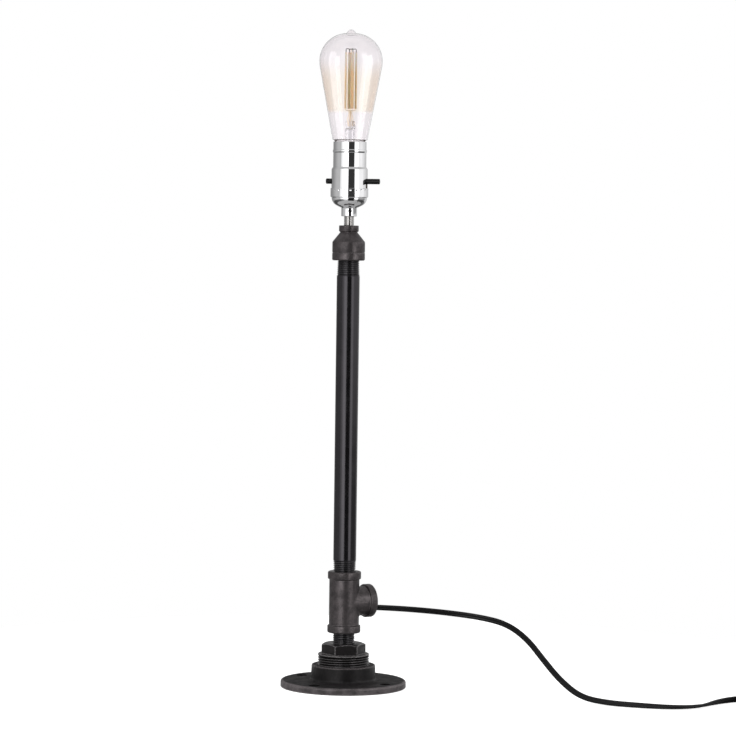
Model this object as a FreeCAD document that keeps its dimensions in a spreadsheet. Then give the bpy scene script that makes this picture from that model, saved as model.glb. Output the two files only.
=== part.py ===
"""Pipe table lamp: malleable fittings, a steel pipe and a push-through socket.

Millimetres. The lamp's axis is Z, its base rests on z = 0, and the branch of the
tee, where the cord leaves, points along +X. Every size is a cell of the sheet
"sizes". PLACES holds the levels and radii that follow from those cells.
"""
import FreeCAD, Part
import math
import os
import re
import Sketcher

Vector = FreeCAD.Vector

# ---------------------------------------------------------------- driving sizes
SIZES = [
    # cast floor flange
    ("flange_od", 117.0, "flange outside diameter"),
    ("flange_thick", 6.4, "flange plate thickness"),
    ("flange_edge", 1.8, "rounding of the plate's upper edge"),
    ("flange_bevel", 0.5, "bevel of the plate's lower edge"),
    ("hub_od", 59.4, "hub diameter at its top"),
    ("hub_draft", 0.5, "hub radius gained down to the plate"),
    ("hub_height", 21.0, "hub top above the table"),
    ("hub_fillet", 3.0, "fillet between plate and hub"),
    ("hub_edge", 1.0, "rounding of the hub's top edge"),
    ("hub_clear", 0.5, "hub's mouth outside the big thread's crests"),
    ("bolt_circle", 94.0, "pitch circle of the fixing holes"),
    ("bolt_hole", 10.4, "fixing hole diameter"),
    ("bolt_turn", 27.0, "angle of the first fixing hole"),
    # hexagon bushing
    ("big_root", 44.9, "root diameter of the big thread"),
    ("big_crest", 47.7, "crest diameter of the big thread"),
    ("bushing_engage", 9.5, "big thread inside the hub"),
    ("bushing_show", 10.3, "big thread above the hub"),
    ("bushing_collar", 1.5, "plain collar that ends the big thread"),
    ("bushing_core", 34.0, "cored hollow inside the big thread"),
    ("bushing_roof", 5.5, "height of the hollow's roof below the collar"),
    ("roof_slope", 1.5, "fall of the roof's sloping rim"),
    ("roof_reach", 4.0, "width of the roof's sloping rim"),
    ("collar_bevel", 0.4, "bevels of the collar"),
    ("hex_flats", 36.0, "hexagon across flats"),
    ("hex_height", 9.7, "hexagon height"),
    ("hex_turn", 39.0, "angle of the first hexagon corner"),
    ("hex_bevel", 1.3, "corner bevel height"),
    # half-inch pipe thread
    ("pipe_od", 21.3, "pipe outside diameter"),
    ("pipe_bore", 15.8, "pipe inside diameter"),
    ("thread_root", 18.7, "pipe thread root diameter at a fitting's face"),
    ("thread_engage", 12.5, "pipe thread inside a fitting"),
    ("thread_taper", 0.03125, "radius lost per millimetre of thread"),
    ("thread_fit", 0.06, "gap between male and female roots"),
    ("mouth_od", 22.4, "countersink diameter of a fitting's mouth"),
    ("mouth_depth", 1.6, "countersink depth"),
    ("pipe_edge", 0.8, "height of the chamfer on a pipe's end"),
    ("pipe_lip", 0.3, "width of the chamfer on a pipe's end"),
    ("thread_runout", 0.7, "slope from a pipe's thread to its plain wall"),
    ("nipple_show", 9.9, "short nipple between bushing and tee"),
    # tee
    ("tee_length", 57.3, "tee end to end"),
    ("tee_branch", 28.0, "tee centre to the branch's face"),
    ("tee_body", 28.1, "tee body diameter"),
    ("tee_neck", 27.3, "branch neck diameter"),
    ("band_od", 31.0, "band diameter on a fitting's end"),
    ("band_width", 6.6, "band width"),
    ("band_edge", 1.3, "rounding of a band's outer edge"),
    ("band_slope", 0.9, "slope between band and body"),
    ("tee_core", 21.0, "cored hollow inside the tee"),
    ("branch_core", 20.2, "cored hollow of the branch"),
    ("core_slope", 1.6, "slope from thread to hollow"),
    ("tee_fillet", 2.2, "fillet between body and branch"),
    # column pipe
    ("pipe_show", 289.6, "pipe between tee and reducer"),
    ("low_thread_show", 10.8, "thread seen above the tee"),
    ("high_thread_show", 15.0, "thread seen below the reducer"),
    # reducing coupling
    ("reducer_length", 32.4, "reducer end to end"),
    ("reducer_od", 30.4, "reducer body diameter"),
    ("reducer_band", 7.2, "lower band height"),
    ("reducer_groove", 0.5, "depth of the line above the band"),
    ("reducer_body", 16.0, "height of the straight body"),
    ("reducer_shoulder", 3.2, "rounding where the cone starts"),
    ("reducer_neck", 15.8, "neck diameter"),
    ("neck_height", 26.2, "neck above the reducer's foot"),
    ("top_band_od", 18.3, "top band diameter"),
    ("top_band", 5.3, "top band height"),
    ("top_round", 0.7, "rounding of the top band"),
    ("stem_shelf", 1.5, "shelf under the lamp nipple"),
    ("cavity_slope", 1.0, "slope from the lower thread to the hollow"),
    ("reducer_cavity", 17.2, "hollow above the lower thread"),
    # threaded lamp nipple
    ("stem_od", 9.7, "lamp nipple outside diameter"),
    ("stem_bore", 7.0, "lamp nipple bore"),
    ("stem_engage", 8.5, "lamp nipple inside the reducer"),
    ("stem_show", 8.5, "lamp nipple between reducer and cap"),
    ("stem_edge", 0.4, "chamfer on the nipple's ends"),
    ("stem_proud", 0.6, "lamp nipple above the cap's hub"),
    # socket cap
    ("cap_hub_od", 14.5, "cap hub diameter"),
    ("cap_hub", 8.2, "cap hub height"),
    ("cap_wall", 0.6, "cap wall"),
    ("bowl_od", 32.8, "bowl diameter below the bead"),
    ("bowl_corner", 8.0, "rounding of the bowl's side"),
    ("bowl_floor", 25.85, "rounding of the bowl's floor"),
    ("cap_bead", 8.0, "cap bead height"),
    ("bead_slope", 0.7, "slope below the bead"),
    ("dimple_count", 20, "locking dimples round the bead"),
    ("dimple_od", 1.5, "locking dimple diameter"),
    ("dimple_depth", 0.25, "locking dimple depth"),
    ("dimple_drop", 1.9, "locking dimples below the bead's top"),
    ("hub_bevel", 0.4, "bevel of the cap hub's foot"),
    ("lip_bevel", 0.3, "bevel of the bead's lip"),
    ("bead_floor", 0.6, "bead's inside above its foot"),
    # set screw in the cap's hub
    ("set_screw_od", 3.2, "set screw diameter"),
    ("set_screw_turn", 248.0, "angle of the set screw"),
    ("set_screw_rise", 5.0, "set screw above the cap's foot"),
    ("set_screw_slot", 0.6, "screwdriver slot width"),
    ("set_screw_deep", 0.7, "screwdriver slot depth"),
    ("set_screw_proud", 0.2, "set screw proud of the hub"),
    ("set_screw_edge", 0.2, "bevel of the set screw's outer end"),
    ("set_screw_point", 0.5, "bevel of the set screw's point"),
    # socket shell and its card liner
    ("socket_turn", 316.0, "angle of the switch rod"),
    ("shell_od", 33.5, "shell diameter beside the rod"),
    ("shell_top_od", 30.7, "shell diameter round the bulb's cap"),
    ("shell_wall", 0.5, "shell wall"),
    ("shell_tuck", 5.6, "shell inside the cap"),
    ("shell_low", 19.5, "wide part of the shell above the cap"),
    ("shell_high", 23.6, "narrow part of the shell"),
    ("shell_step", 1.8, "slope between the two"),
    ("shell_lean", 0.1, "slope's inside below its outside"),
    ("shell_bead_drop", 8.8, "middle of the rolled bead below the rim"),
    ("shell_bead", 2.8, "rolled bead height"),
    ("shell_bead_round", 2.9, "rolled bead rounding"),
    ("shell_lip", 0.35, "rim turned in"),
    ("shell_lip_high", 0.9, "height of the turned-in rim"),
    ("shell_lip_round", 1.1, "rounding of the turned-in rim"),
    ("shell_lip_edge", 0.2, "slope on the rim's edge"),
    ("sleeve_gap", 0.15, "gap between nested sleeves"),
    ("liner_wall", 0.6, "card liner wall"),
    ("liner_short", 1.2, "liner below the shell's rim"),
    ("liner_drop", 0.4, "liner above the shell's foot and below its slope"),
    # socket interior
    ("body_od", 26.8, "phenolic body diameter"),
    ("body_low", 13.6, "phenolic body below the rod's axis"),
    ("body_high", 6.1, "phenolic body above the rod's axis"),
    ("pocket_length", 18.0, "switch pocket along the rod"),
    ("pocket_width", 10.4, "switch pocket across the rod"),
    ("pocket_rise", 4.7, "pocket roof above the rod's axis"),
    ("screw_shell_bore", 26.5, "screw shell bore"),
    ("screw_shell_wall", 0.35, "screw shell wall"),
    ("screw_shell_high", 27.6, "screw shell height"),
    ("screw_shell_hole", 18.6, "hole in the screw shell's floor"),
    ("contact_width", 5.0, "centre contact width"),
    ("contact_length", 13.0, "centre contact length"),
    ("contact_thick", 0.4, "centre contact thickness"),
    ("contact_rise", 0.9, "centre contact's spring lift"),
    ("terminal_od", 6.2, "terminal screw head diameter"),
    ("terminal_head", 1.5, "terminal screw head height"),
    ("terminal_shank", 3.2, "terminal screw shank diameter"),
    ("terminal_depth", 4.6, "terminal screw shank length"),
    ("terminal_drop", 7.2, "terminal screws below the rod's axis"),
    ("terminal_gap", 0.6, "gap between terminal screw heads and liner"),
    ("terminal_seat", 8.4, "width of a terminal's flat seat"),
    ("terminal_edge", 0.5, "bevel of a terminal screw's head"),
    ("body_bevel", 0.5, "bevels of the phenolic body"),
    # push-through switch
    ("rod_rise", 6.4, "rod axis above the cap"),
    ("rod_od", 5.0, "rod diameter"),
    ("rod_right", 28.9, "rod from the lamp's axis to its long end"),
    ("rod_left", 22.3, "rod from the lamp's axis to its short end"),
    ("rod_edge", 0.4, "rounding of the rod's ends"),
    ("rod_play", 0.3, "gap round the rod in its holes"),
    ("collar_od", 7.6, "contact collar diameter"),
    ("collar_length", 3.0, "contact collar length"),
    ("spring_width", 4.0, "detent spring width"),
    ("spring_thick", 0.35, "detent spring thickness"),
    ("spring_length", 16.0, "detent spring length"),
    ("spring_gap", 0.3, "detent spring above the collar"),
    # bulb
    ("bulb_od", 58.4, "bulb's widest diameter"),
    ("bulb_waist", 74.3, "widest point above the socket's rim"),
    ("bulb_cone", 10.6, "cone angle of the bulb's lower part"),
    ("bulb_belly", 35.0, "rounding below the widest point"),
    ("bulb_crown", 25.6, "rounding above the widest point"),
    ("bulb_foot_rise", 4.0, "foot of the cone above the socket's rim"),
    ("bulb_foot_round", 3.4, "rounding of the cone's foot"),
    ("bulb_throat", 27.2, "glass diameter level with the socket's rim"),
    ("bulb_neck", 24.6, "glass neck diameter inside the bulb's cap"),
    ("bulb_neck_length", 12.0, "glass neck below the socket's rim"),
    ("glass_wall", 0.8, "glass thickness"),
    ("tip_od", 11.0, "foot diameter of the sealed tip"),
    ("tip_height", 3.8, "sealed tip above the crown"),
    ("tip_round", 1.9, "rounding of the tip's end"),
    ("tip_slope", 35.0, "angle where the tip's end starts"),
    ("tip_flare", 6.0, "hollow rounding of the tip's foot"),
    ("bulb_cap_od", 25.6, "bulb cap diameter"),
    ("bulb_cap_wall", 0.35, "bulb cap wall"),
    ("bulb_cap_high", 20.5, "bulb cap height"),
    ("insulator_od", 20.8, "glass insulator diameter"),
    ("insulator_high", 3.0, "glass insulator height"),
    ("button_od", 9.4, "tip contact diameter"),
    ("button_high", 1.2, "tip contact height"),
    ("bulb_rest", 0.4, "tip contact above the centre contact"),
    # inside the bulb
    ("mount_tube", 9.0, "glass mount tube diameter"),
    ("mount_wall", 1.0, "glass mount wall"),
    ("mount_tube_high", 31.0, "mount tube above the neck's foot"),
    ("mount_flare_high", 12.0, "flare of the mount above the neck's foot"),
    ("filament_foot_rise", 11.5, "filaments above the mount"),
    ("filament_length", 52.0, "filament length"),
    ("filament_width", 1.8, "filament width"),
    ("filament_thick", 1.0, "filament thickness"),
    ("filament_circle", 10.0, "circle the filaments stand on"),
    ("filament_turn", 88.0, "angle of the first filament"),
    ("filament_count", 4, "number of filaments"),
    ("wire_od", 0.7, "support wire diameter"),
    ("post_od", 1.0, "centre post diameter"),
    # cord and plug
    ("cord_od", 5.6, "cord width"),
    ("cord_exit_side", -1.5, "cord's exit across the branch"),
    ("cord_seat", 0.3, "cord above the thread at the exit"),
    ("cord_proud", 1.6, "inner cord above the lamp nipple"),
    ("cord_wander", 0.6, "inner cord's wander in the pipe"),
    ("core_od", 1.4, "conductor diameter"),
    ("core_spread", 2.6, "distance between the conductors"),
    ("core_rise", 2.4, "conductors' straight start"),
    ("coil_middle", 62.0, "coil diameter at the middle of its turns"),
    ("coil_width", 16.8, "coil width across its turns"),
    ("coil_height", 16.8, "coil height"),
    ("coil_round", 4.0, "rounding of the coil's edges"),
    ("coil_x", 313.0, "coil centre along X"),
    ("coil_y", -271.0, "coil centre along Y"),
    ("tie_width", 6.0, "coil tie width"),
    ("tie_thick", 0.8, "coil tie thickness"),
    ("tie_gap", 0.1, "gap under and over the coil in its tie"),
    ("tie_slack", 0.35, "gap beside the coil in its tie"),
    ("plug_width", 24.0, "plug body width"),
    ("plug_depth", 13.0, "plug body thickness"),
    ("plug_length", 22.0, "plug body length"),
    ("plug_taper", 13.0, "plug grip length behind the body"),
    ("plug_tail_od", 8.4, "plug grip diameter at the cord"),
    ("plug_round", 2.5, "rounding of the plug body"),
    ("plug_reach", 46.0, "plug body from the coil's centre line"),
    ("blade_pitch", 12.7, "distance between the blades"),
    ("blade_width", 6.35, "blade width"),
    ("blade_thick", 1.5, "blade thickness"),
    ("blade_length", 17.5, "blade length"),
]

# levels and radii that follow from the sizes
PLACES = {
    "bushing_foot": "hub_height - bushing_engage",
    "hex_foot": "hub_height + bushing_show",
    "hex_top": "hex_foot + hex_height",
    "hex_corner": "hex_flats / sqrt(3)",
    "low_nipple_foot": "hex_top - thread_engage",
    "tee_foot": "hex_top + nipple_show",
    "low_nipple_top": "tee_foot + thread_engage",
    "tee_axis": "tee_foot + tee_length / 2",
    "tee_top": "tee_foot + tee_length",
    "pipe_foot": "tee_top - thread_engage",
    "reducer_foot": "tee_top + pipe_show",
    "pipe_top": "reducer_foot + thread_engage",
    "reducer_top": "reducer_foot + reducer_length",
    "stem_foot": "reducer_top - stem_engage",
    "cap_foot": "reducer_top + stem_show",
    "root_face": "thread_root / 2",
    "root_end": "root_face - thread_taper * thread_engage",
    "female_face": "root_face + thread_fit",
    "female_deep": "root_face + thread_fit - thread_taper * thread_engage",
    # cap bowl: a corner arc tangent to a floor arc centred on the axis
    "corner_x": "bowl_od / 2 - bowl_corner",
    "corner_drop": "sqrt((bowl_floor - bowl_corner) ^ 2 - corner_x ^ 2)",
    "blend_x": "corner_x * bowl_floor / (bowl_floor - bowl_corner)",
    "blend_fall": "corner_drop * bowl_corner / (bowl_floor - bowl_corner)",
    "hub_meet": "sqrt(bowl_floor ^ 2 - (cap_hub_od / 2) ^ 2)",
    "bowl_meet": "cap_foot + cap_hub",
    "floor_centre": "bowl_meet + hub_meet",
    "bowl_top": "floor_centre - corner_drop",
    "bead_foot": "bowl_top + bead_slope",
    "cap_top": "bead_foot + cap_bead",
    "cap_rim": "shell_od / 2 + sleeve_gap + cap_wall",
    "inner_floor": "bowl_floor - cap_wall",
    "inner_blend_x": "corner_x * inner_floor / (bowl_floor - bowl_corner)",
    "inner_blend_z": "floor_centre - corner_drop * inner_floor / (bowl_floor - bowl_corner)",
    "stem_hole": "stem_od / 2 + thread_fit",
    "inner_floor_z": "floor_centre - sqrt(inner_floor ^ 2 - stem_hole ^ 2)",
    "stem_top": "bowl_meet + stem_proud",
    # shell, liner and interior
    "shell_foot": "cap_top - shell_tuck",
    "step_z": "cap_top + shell_low",
    "rim_z": "step_z + shell_high",
    "rod_z": "cap_top + rod_rise",
    "shell_r": "shell_od / 2",
    "neck_r": "shell_top_od / 2",
    "bead_z": "rim_z - shell_bead_drop",
    "liner_r": "shell_r - shell_wall - sleeve_gap",
    "liner_neck_r": "neck_r - shell_wall - sleeve_gap",
    "liner_top": "rim_z - liner_short",
    "body_foot": "rod_z - body_low",
    "body_top": "rod_z + body_high",
    "screw_shell_top": "body_top + screw_shell_high",
    "terminal_z": "rod_z - terminal_drop",
    "seat_face": "liner_r - liner_wall - terminal_gap - terminal_head",
    "notch": "rod_od + 2 * rod_play",
    "contact_top": "body_top + contact_rise + contact_thick",
    # bulb
    "button_z": "contact_top + bulb_rest",
    "insulator_z": "button_z + button_high",
    "bulb_cap_z": "insulator_z + insulator_high",
    "bulb_cap_top": "bulb_cap_z + bulb_cap_high",
    "neck_foot": "rim_z - bulb_neck_length",
    "waist_z": "rim_z + bulb_waist",
    "waist_r": "bulb_od / 2",
    "belly_x": "waist_r - bulb_belly * (1 - cos(bulb_cone))",
    "belly_z": "waist_z - bulb_belly * sin(bulb_cone)",
    "foot_z": "rim_z + bulb_foot_rise",
    "foot_x": "belly_x - (belly_z - foot_z) * tan(bulb_cone)",
    "foot_centre_x": "foot_x - bulb_foot_round * cos(bulb_cone)",
    "foot_centre_z": "foot_z + bulb_foot_round * sin(bulb_cone)",
    "throat_z": "foot_centre_z - sqrt(bulb_foot_round ^ 2 - (bulb_throat / 2 - foot_centre_x) ^ 2)",
    "inner_foot": "bulb_foot_round - glass_wall",
    "inner_throat": "bulb_throat / 2 - glass_wall",
    "inner_throat_z": "foot_centre_z - sqrt(inner_foot ^ 2 - (inner_throat - foot_centre_x) ^ 2)",
    "crown_x": "waist_r - bulb_crown",
    "crown_z": "waist_z + bulb_crown",
    "tip_x": "tip_od / 2",
    "tip_z": "waist_z + sqrt(bulb_crown ^ 2 - (tip_x - crown_x) ^ 2)",
    "tip_top": "tip_z + tip_height",
    "tip_end_x": "tip_round * cos(tip_slope)",
    "tip_end_z": "tip_top - tip_round * (1 - sin(tip_slope))",
    "inside_crown": "bulb_crown - glass_wall",
    "inside_top": "crown_z - glass_wall",
    "mount_top": "neck_foot + mount_tube_high",
    "filament_foot": "mount_top + filament_foot_rise",
    "filament_top": "filament_foot + filament_length",
    # cord
    "cord_r": "cord_od / 2",
    "exit_z": "tee_axis - female_face + cord_r + cord_seat",
    "coil_inner": "(coil_middle - coil_width) / 2",
    "coil_outer": "(coil_middle + coil_width) / 2",
}

# route of the loose cord from the branch's mouth to the coil: (x, y, z)
CORD_ROUTE = [
    (60.0, -9.0, 71.0),
    (95.0, -22.0, 67.5),
    (122.0, -42.0, 64.0),
    (138.0, -66.0, 59.5),
    (144.0, -93.0, 48.0),
    (144.5, -120.0, 32.5),
    (146.0, -147.0, 17.0),
    (151.0, -174.0, 4.6),
    (162.0, -200.0, 2.9),
    (180.0, -223.0, 2.9),
    (203.0, -245.0, 2.9),
    (229.0, -251.0, 2.9),
    (257.0, -238.0, 2.9),
    (285.0, -231.0, 2.9),
    (314.0, -234.8, 2.9),
]

DOC = FreeCAD.newDocument("pipe_lamp")
SHEET = DOC.addObject("Spreadsheet::Sheet", "sizes")
ALIASES = {alias for alias, _, _ in SIZES}
PARTS = []


def fill_sheet():
    """Write each size, its name and its meaning into the sheet."""
    for row, (alias, size, meaning) in enumerate(SIZES, start=1):
        SHEET.set(f"A{row}", meaning)
        SHEET.set(f"B{row}", str(size))
        SHEET.setAlias(f"B{row}", alias)
    DOC.recompute()


def formula(text):
    """Spell a formula of size and place names out in the sheet's cells."""
    def swap(match):
        word = match.group(0)
        if word in PLACES:
            return "(" + formula(PLACES[word]) + ")"
        return "sizes." + word if word in ALIASES else word
    return re.sub(r"[a-z][a-z_]*", swap, text)


def value(text):
    """The number that a formula gives now."""
    return float(SHEET.evalExpression(formula(text)))


def bind(thing, path, text):
    """Tie a property to a formula."""
    thing.setExpression(path, formula(text))


# ---------------------------------------------------------------- sketch helpers
def new_body(label, turn=None, across=None, along=None, up=None):
    """A sub-part of its own, turned about Z and moved by formulas."""
    body = DOC.addObject("PartDesign::Body", label)
    body.Label = label
    if turn:
        body.Placement = FreeCAD.Placement(Vector(), FreeCAD.Rotation(Vector(0, 0, 1), 0))
        bind(body, "Placement.Rotation.Angle", turn)
    for path, text in (("x", across), ("y", along), ("z", up)):
        if text:
            bind(body, "Placement.Base." + path, text)
    PARTS.append(body)
    return body


def origin(body, role):
    """A plane or axis of a body's own origin."""
    return next(item for item in body.Origin.OriginFeatures if item.Role == role)


def new_sketch(body, name, role, shift_x=None, shift_y=None, lift=None):
    """A sketch on one of the body's origin planes, moved within its plane or off it."""
    sketch = body.newObject("Sketcher::SketchObject", f"{body.Name}_{name}")
    sketch.AttachmentSupport = [(origin(body, role), "")]
    sketch.MapMode = "FlatFace"
    for path, text in (("x", shift_x), ("y", shift_y), ("z", lift)):
        if text:
            bind(sketch, "AttachmentOffset.Base." + path, text)
    return sketch


def fix(sketch, kind, geometry, text, name, point=None):
    """Add one dimension and tie it to a formula."""
    number = value(text)
    if point is None:
        constraint = Sketcher.Constraint(kind, geometry, number)
    else:
        constraint = Sketcher.Constraint(kind, -1, 1, geometry, point, number)
    sketch.renameConstraint(sketch.addConstraint(constraint), name)
    bind(sketch, "Constraints." + name, text)


def arc_between(start, end, radius, side):
    """The short arc of a radius between two points, its centre left (+1) or right (-1)."""
    chord = end - start
    half = chord.Length / 2
    away = Vector(-chord.y, chord.x, 0).normalize() * side
    centre = start + chord * 0.5 + away * math.sqrt(max(radius ** 2 - half ** 2, 0.0))
    first, last = (start, end) if side > 0 else (end, start)
    angles = [math.atan2(p.y - centre.y, p.x - centre.x) for p in (first, last)]
    circle = Part.Circle(centre, Vector(0, 0, 1), radius)
    return Part.ArcOfCircle(circle, angles[0], angles[1])


def outline(sketch, corners):
    """Draw a closed outline with every corner and arc tied to the sheet.

    A corner is (across, up) where a straight edge follows, or
    (across, up, radius, side) where an arc follows, its centre on the left
    of the way round (side +1) or on the right (side -1).
    """
    points = [Vector(value(corner[0]), value(corner[1]), 0) for corner in corners]
    edges = []
    for number, corner in enumerate(corners):
        start, end = points[number], points[(number + 1) % len(points)]
        if len(corner) == 2:
            edges.append((sketch.addGeometry(Part.LineSegment(start, end), False), 1, 2))
            continue
        arc = arc_between(start, end, value(corner[2]), corner[3])
        geometry = sketch.addGeometry(arc, False)
        edges.append((geometry, 1, 2) if corner[3] > 0 else (geometry, 2, 1))
    for number, (geometry, _, last) in enumerate(edges):
        following, first, _ = edges[(number + 1) % len(edges)]
        sketch.addConstraint(Sketcher.Constraint("Coincident", geometry, last, following, first))
    for number, (corner, (geometry, first, _)) in enumerate(zip(corners, edges)):
        mark = f"{geometry}_{number}"
        if corner[0] == "0":
            sketch.addConstraint(Sketcher.Constraint("PointOnObject", geometry, first, -2))
        else:
            fix(sketch, "DistanceX", geometry, corner[0], "across_" + mark, first)
        if corner[1] == "0":
            sketch.addConstraint(Sketcher.Constraint("PointOnObject", geometry, first, -1))
        else:
            fix(sketch, "DistanceY", geometry, corner[1], "up_" + mark, first)
        if len(corner) > 2:
            fix(sketch, "Radius", geometry, corner[2], "round_" + mark)


def circle(sketch, across, up, diameter):
    """Draw a circle with its centre and diameter tied to the sheet."""
    centre = Vector(value(across), value(up), 0)
    shape = Part.Circle(centre, Vector(0, 0, 1), value(diameter) / 2)
    geometry = sketch.addGeometry(shape, False)
    for kind, text, axis in (("DistanceX", across, -2), ("DistanceY", up, -1)):
        if text == "0":
            sketch.addConstraint(Sketcher.Constraint("PointOnObject", geometry, 3, axis))
        else:
            fix(sketch, kind, geometry, text, f"{kind}_{geometry}", 3)
    fix(sketch, "Diameter", geometry, diameter, f"wide_{geometry}")


def rectangle(left, low, right, high):
    """The corners of an upright rectangle."""
    return [(left, low), (right, low), (right, high), (left, high)]


# --------------------------------------------------------------- feature helpers
def spin(body, name, corners, cut=False, axis="V_Axis", **shift):
    """Revolve an outline of the XZ plane about an axis of its sketch."""
    sketch = new_sketch(body, name, "XZ_Plane", **shift)
    outline(sketch, corners)
    kind = "PartDesign::Groove" if cut else "PartDesign::Revolution"
    feature = body.newObject(kind, f"{body.Name}_{name}_turned")
    feature.Profile = sketch
    feature.ReferenceAxis = (sketch, [axis])
    feature.Angle = 360
    return feature


def extrude(body, sketch, length, cut=False, middle=False, backwards=False):
    """Pad or pocket a sketch to a length."""
    kind = "PartDesign::Pocket" if cut else "PartDesign::Pad"
    feature = body.newObject(kind, sketch.Name + "_depth")
    feature.Profile = sketch
    feature.Midplane = middle
    feature.Reversed = backwards
    bind(feature, "Length", length)
    return feature


def around(body, feature, count):
    """Repeat a feature evenly about the body's Z axis."""
    pattern = body.newObject("PartDesign::PolarPattern", feature.Name + "_ring")
    pattern.Originals = [feature]
    pattern.Axis = (origin(body, "Z_Axis"), [""])
    pattern.Angle = 360
    bind(pattern, "Occurrences", count)
    body.Tip = pattern
    return pattern


# ------------------------------------------------------------------ base fittings
def base_flange():
    """Cast flange: round plate with four holes and a threaded hub."""
    body = new_body("base_flange", turn="bolt_turn")
    foot_r = "hub_od / 2 + hub_draft"
    spin(body, "casting", [
        ("big_root / 2 + thread_fit", "0"),
        ("flange_od / 2 - flange_bevel", "0"),
        ("flange_od / 2", "flange_bevel"),
        ("flange_od / 2", "flange_thick - flange_edge", "flange_edge", 1),
        ("flange_od / 2 - flange_edge", "flange_thick"),
        (foot_r + " + hub_fillet", "flange_thick", "hub_fillet", -1),
        (foot_r, "flange_thick + hub_fillet"),
        ("hub_od / 2", "hub_height - hub_edge", "hub_edge", 1),
        ("hub_od / 2 - hub_edge", "hub_height"),
        ("big_crest / 2 + hub_clear", "hub_height"),
        ("big_root / 2 + thread_fit", "hub_height - mouth_depth"),
    ])
    sketch = new_sketch(body, "hole", "XY_Plane")
    circle(sketch, "bolt_circle / 2", "0", "bolt_hole")
    hole = extrude(body, sketch, "flange_thick", cut=True, backwards=True)
    around(body, hole, "4")


def reducing_bushing():
    """Hexagon bushing: big male thread below, small female thread above."""
    body = new_body("reducing_bushing", turn="hex_turn")
    root = "big_root / 2"
    collar_foot = "hex_foot - bushing_collar"
    spin(body, "thread", [
        ("0", "bushing_foot"),
        (root + " - pipe_edge", "bushing_foot"),
        (root, "bushing_foot + pipe_edge"),
        (root, collar_foot + " - collar_bevel"),
        ("big_crest / 2", collar_foot + " + collar_bevel"),
        ("big_crest / 2", "hex_foot - collar_bevel"),
        ("big_crest / 2 - collar_bevel", "hex_foot"),
        ("0", "hex_foot"),
    ])
    sketch = new_sketch(body, "hexagon", "XY_Plane", lift="hex_foot")
    hexagon(sketch, "hex_flats")
    extrude(body, sketch, "hex_height")
    spin(body, "bevel", [
        ("hex_flats / 2 - 0.2", "hex_top"),
        ("hex_corner + 1", "hex_top - hex_bevel * (1 + 1 / (hex_corner - hex_flats / 2))"),
        ("hex_corner + 1", "hex_top + 1"),
        ("hex_flats / 2 - 0.2", "hex_top + 1"),
    ], cut=True)
    spin(body, "bore", [
        ("0", "bushing_foot"),
        ("bushing_core / 2", "bushing_foot"),
        ("bushing_core / 2", "hex_foot - bushing_roof - roof_slope"),
        ("bushing_core / 2 - roof_reach", "hex_foot - bushing_roof"),
        ("female_deep", "hex_foot - bushing_roof"),
        ("female_deep", "low_nipple_foot"),
        ("female_face - thread_taper * mouth_depth", "hex_top - mouth_depth"),
        ("mouth_od / 2", "hex_top"),
        ("0", "hex_top"),
    ], cut=True)


def hexagon(sketch, flats):
    """Draw a regular hexagon with a corner on the sketch's X axis."""
    reach = value(flats) / math.sqrt(3)
    corners = [Vector(reach * math.cos(turn), reach * math.sin(turn), 0)
               for turn in (math.radians(60 * step) for step in range(6))]
    ring = sketch.addGeometry(Part.Circle(Vector(), Vector(0, 0, 1), reach), True)
    sketch.addConstraint(Sketcher.Constraint("Coincident", ring, 3, -1, 1))
    fix(sketch, "Diameter", ring, "2 * (" + flats + ") / sqrt(3)", "across_corners")
    sides = [sketch.addGeometry(Part.LineSegment(corners[step], corners[(step + 1) % 6]), False)
             for step in range(6)]
    for step, side in enumerate(sides):
        following = sides[(step + 1) % 6]
        sketch.addConstraint(Sketcher.Constraint("Coincident", side, 2, following, 1))
        sketch.addConstraint(Sketcher.Constraint("PointOnObject", side, 1, ring))
        if step:
            sketch.addConstraint(Sketcher.Constraint("Equal", sides[0], side))
    sketch.addConstraint(Sketcher.Constraint("PointOnObject", sides[0], 1, -1))


def threaded_tube(label, foot, top, low_face, high_face, low_show="0", high_show="0"):
    """A pipe whose two ends are tapered thread roots.

    low_face and high_face are the levels of the fittings' faces; low_show and
    high_show are the threads seen outside them. A pipe with no plain length
    between its threads has both shows left at zero.
    """
    body = new_body(label)
    plain = low_show != "0"
    middle = [
        ("root_face + thread_taper * " + low_show, low_face + " + " + low_show),
        ("pipe_od / 2", low_face + " + " + low_show + " + thread_runout"),
        ("pipe_od / 2", high_face + " - " + high_show + " - thread_runout"),
        ("root_face + thread_taper * " + high_show, high_face + " - " + high_show),
    ] if plain else [
        ("root_face", low_face),
        ("root_face", high_face),
    ]
    spin(body, "wall", [
        ("pipe_bore / 2", foot),
        ("root_end - pipe_lip", foot),
        ("root_end", foot + " + pipe_edge"),
        *middle,
        ("root_end", top + " - pipe_edge"),
        ("root_end - pipe_lip", top),
        ("pipe_bore / 2", top),
    ])


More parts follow.
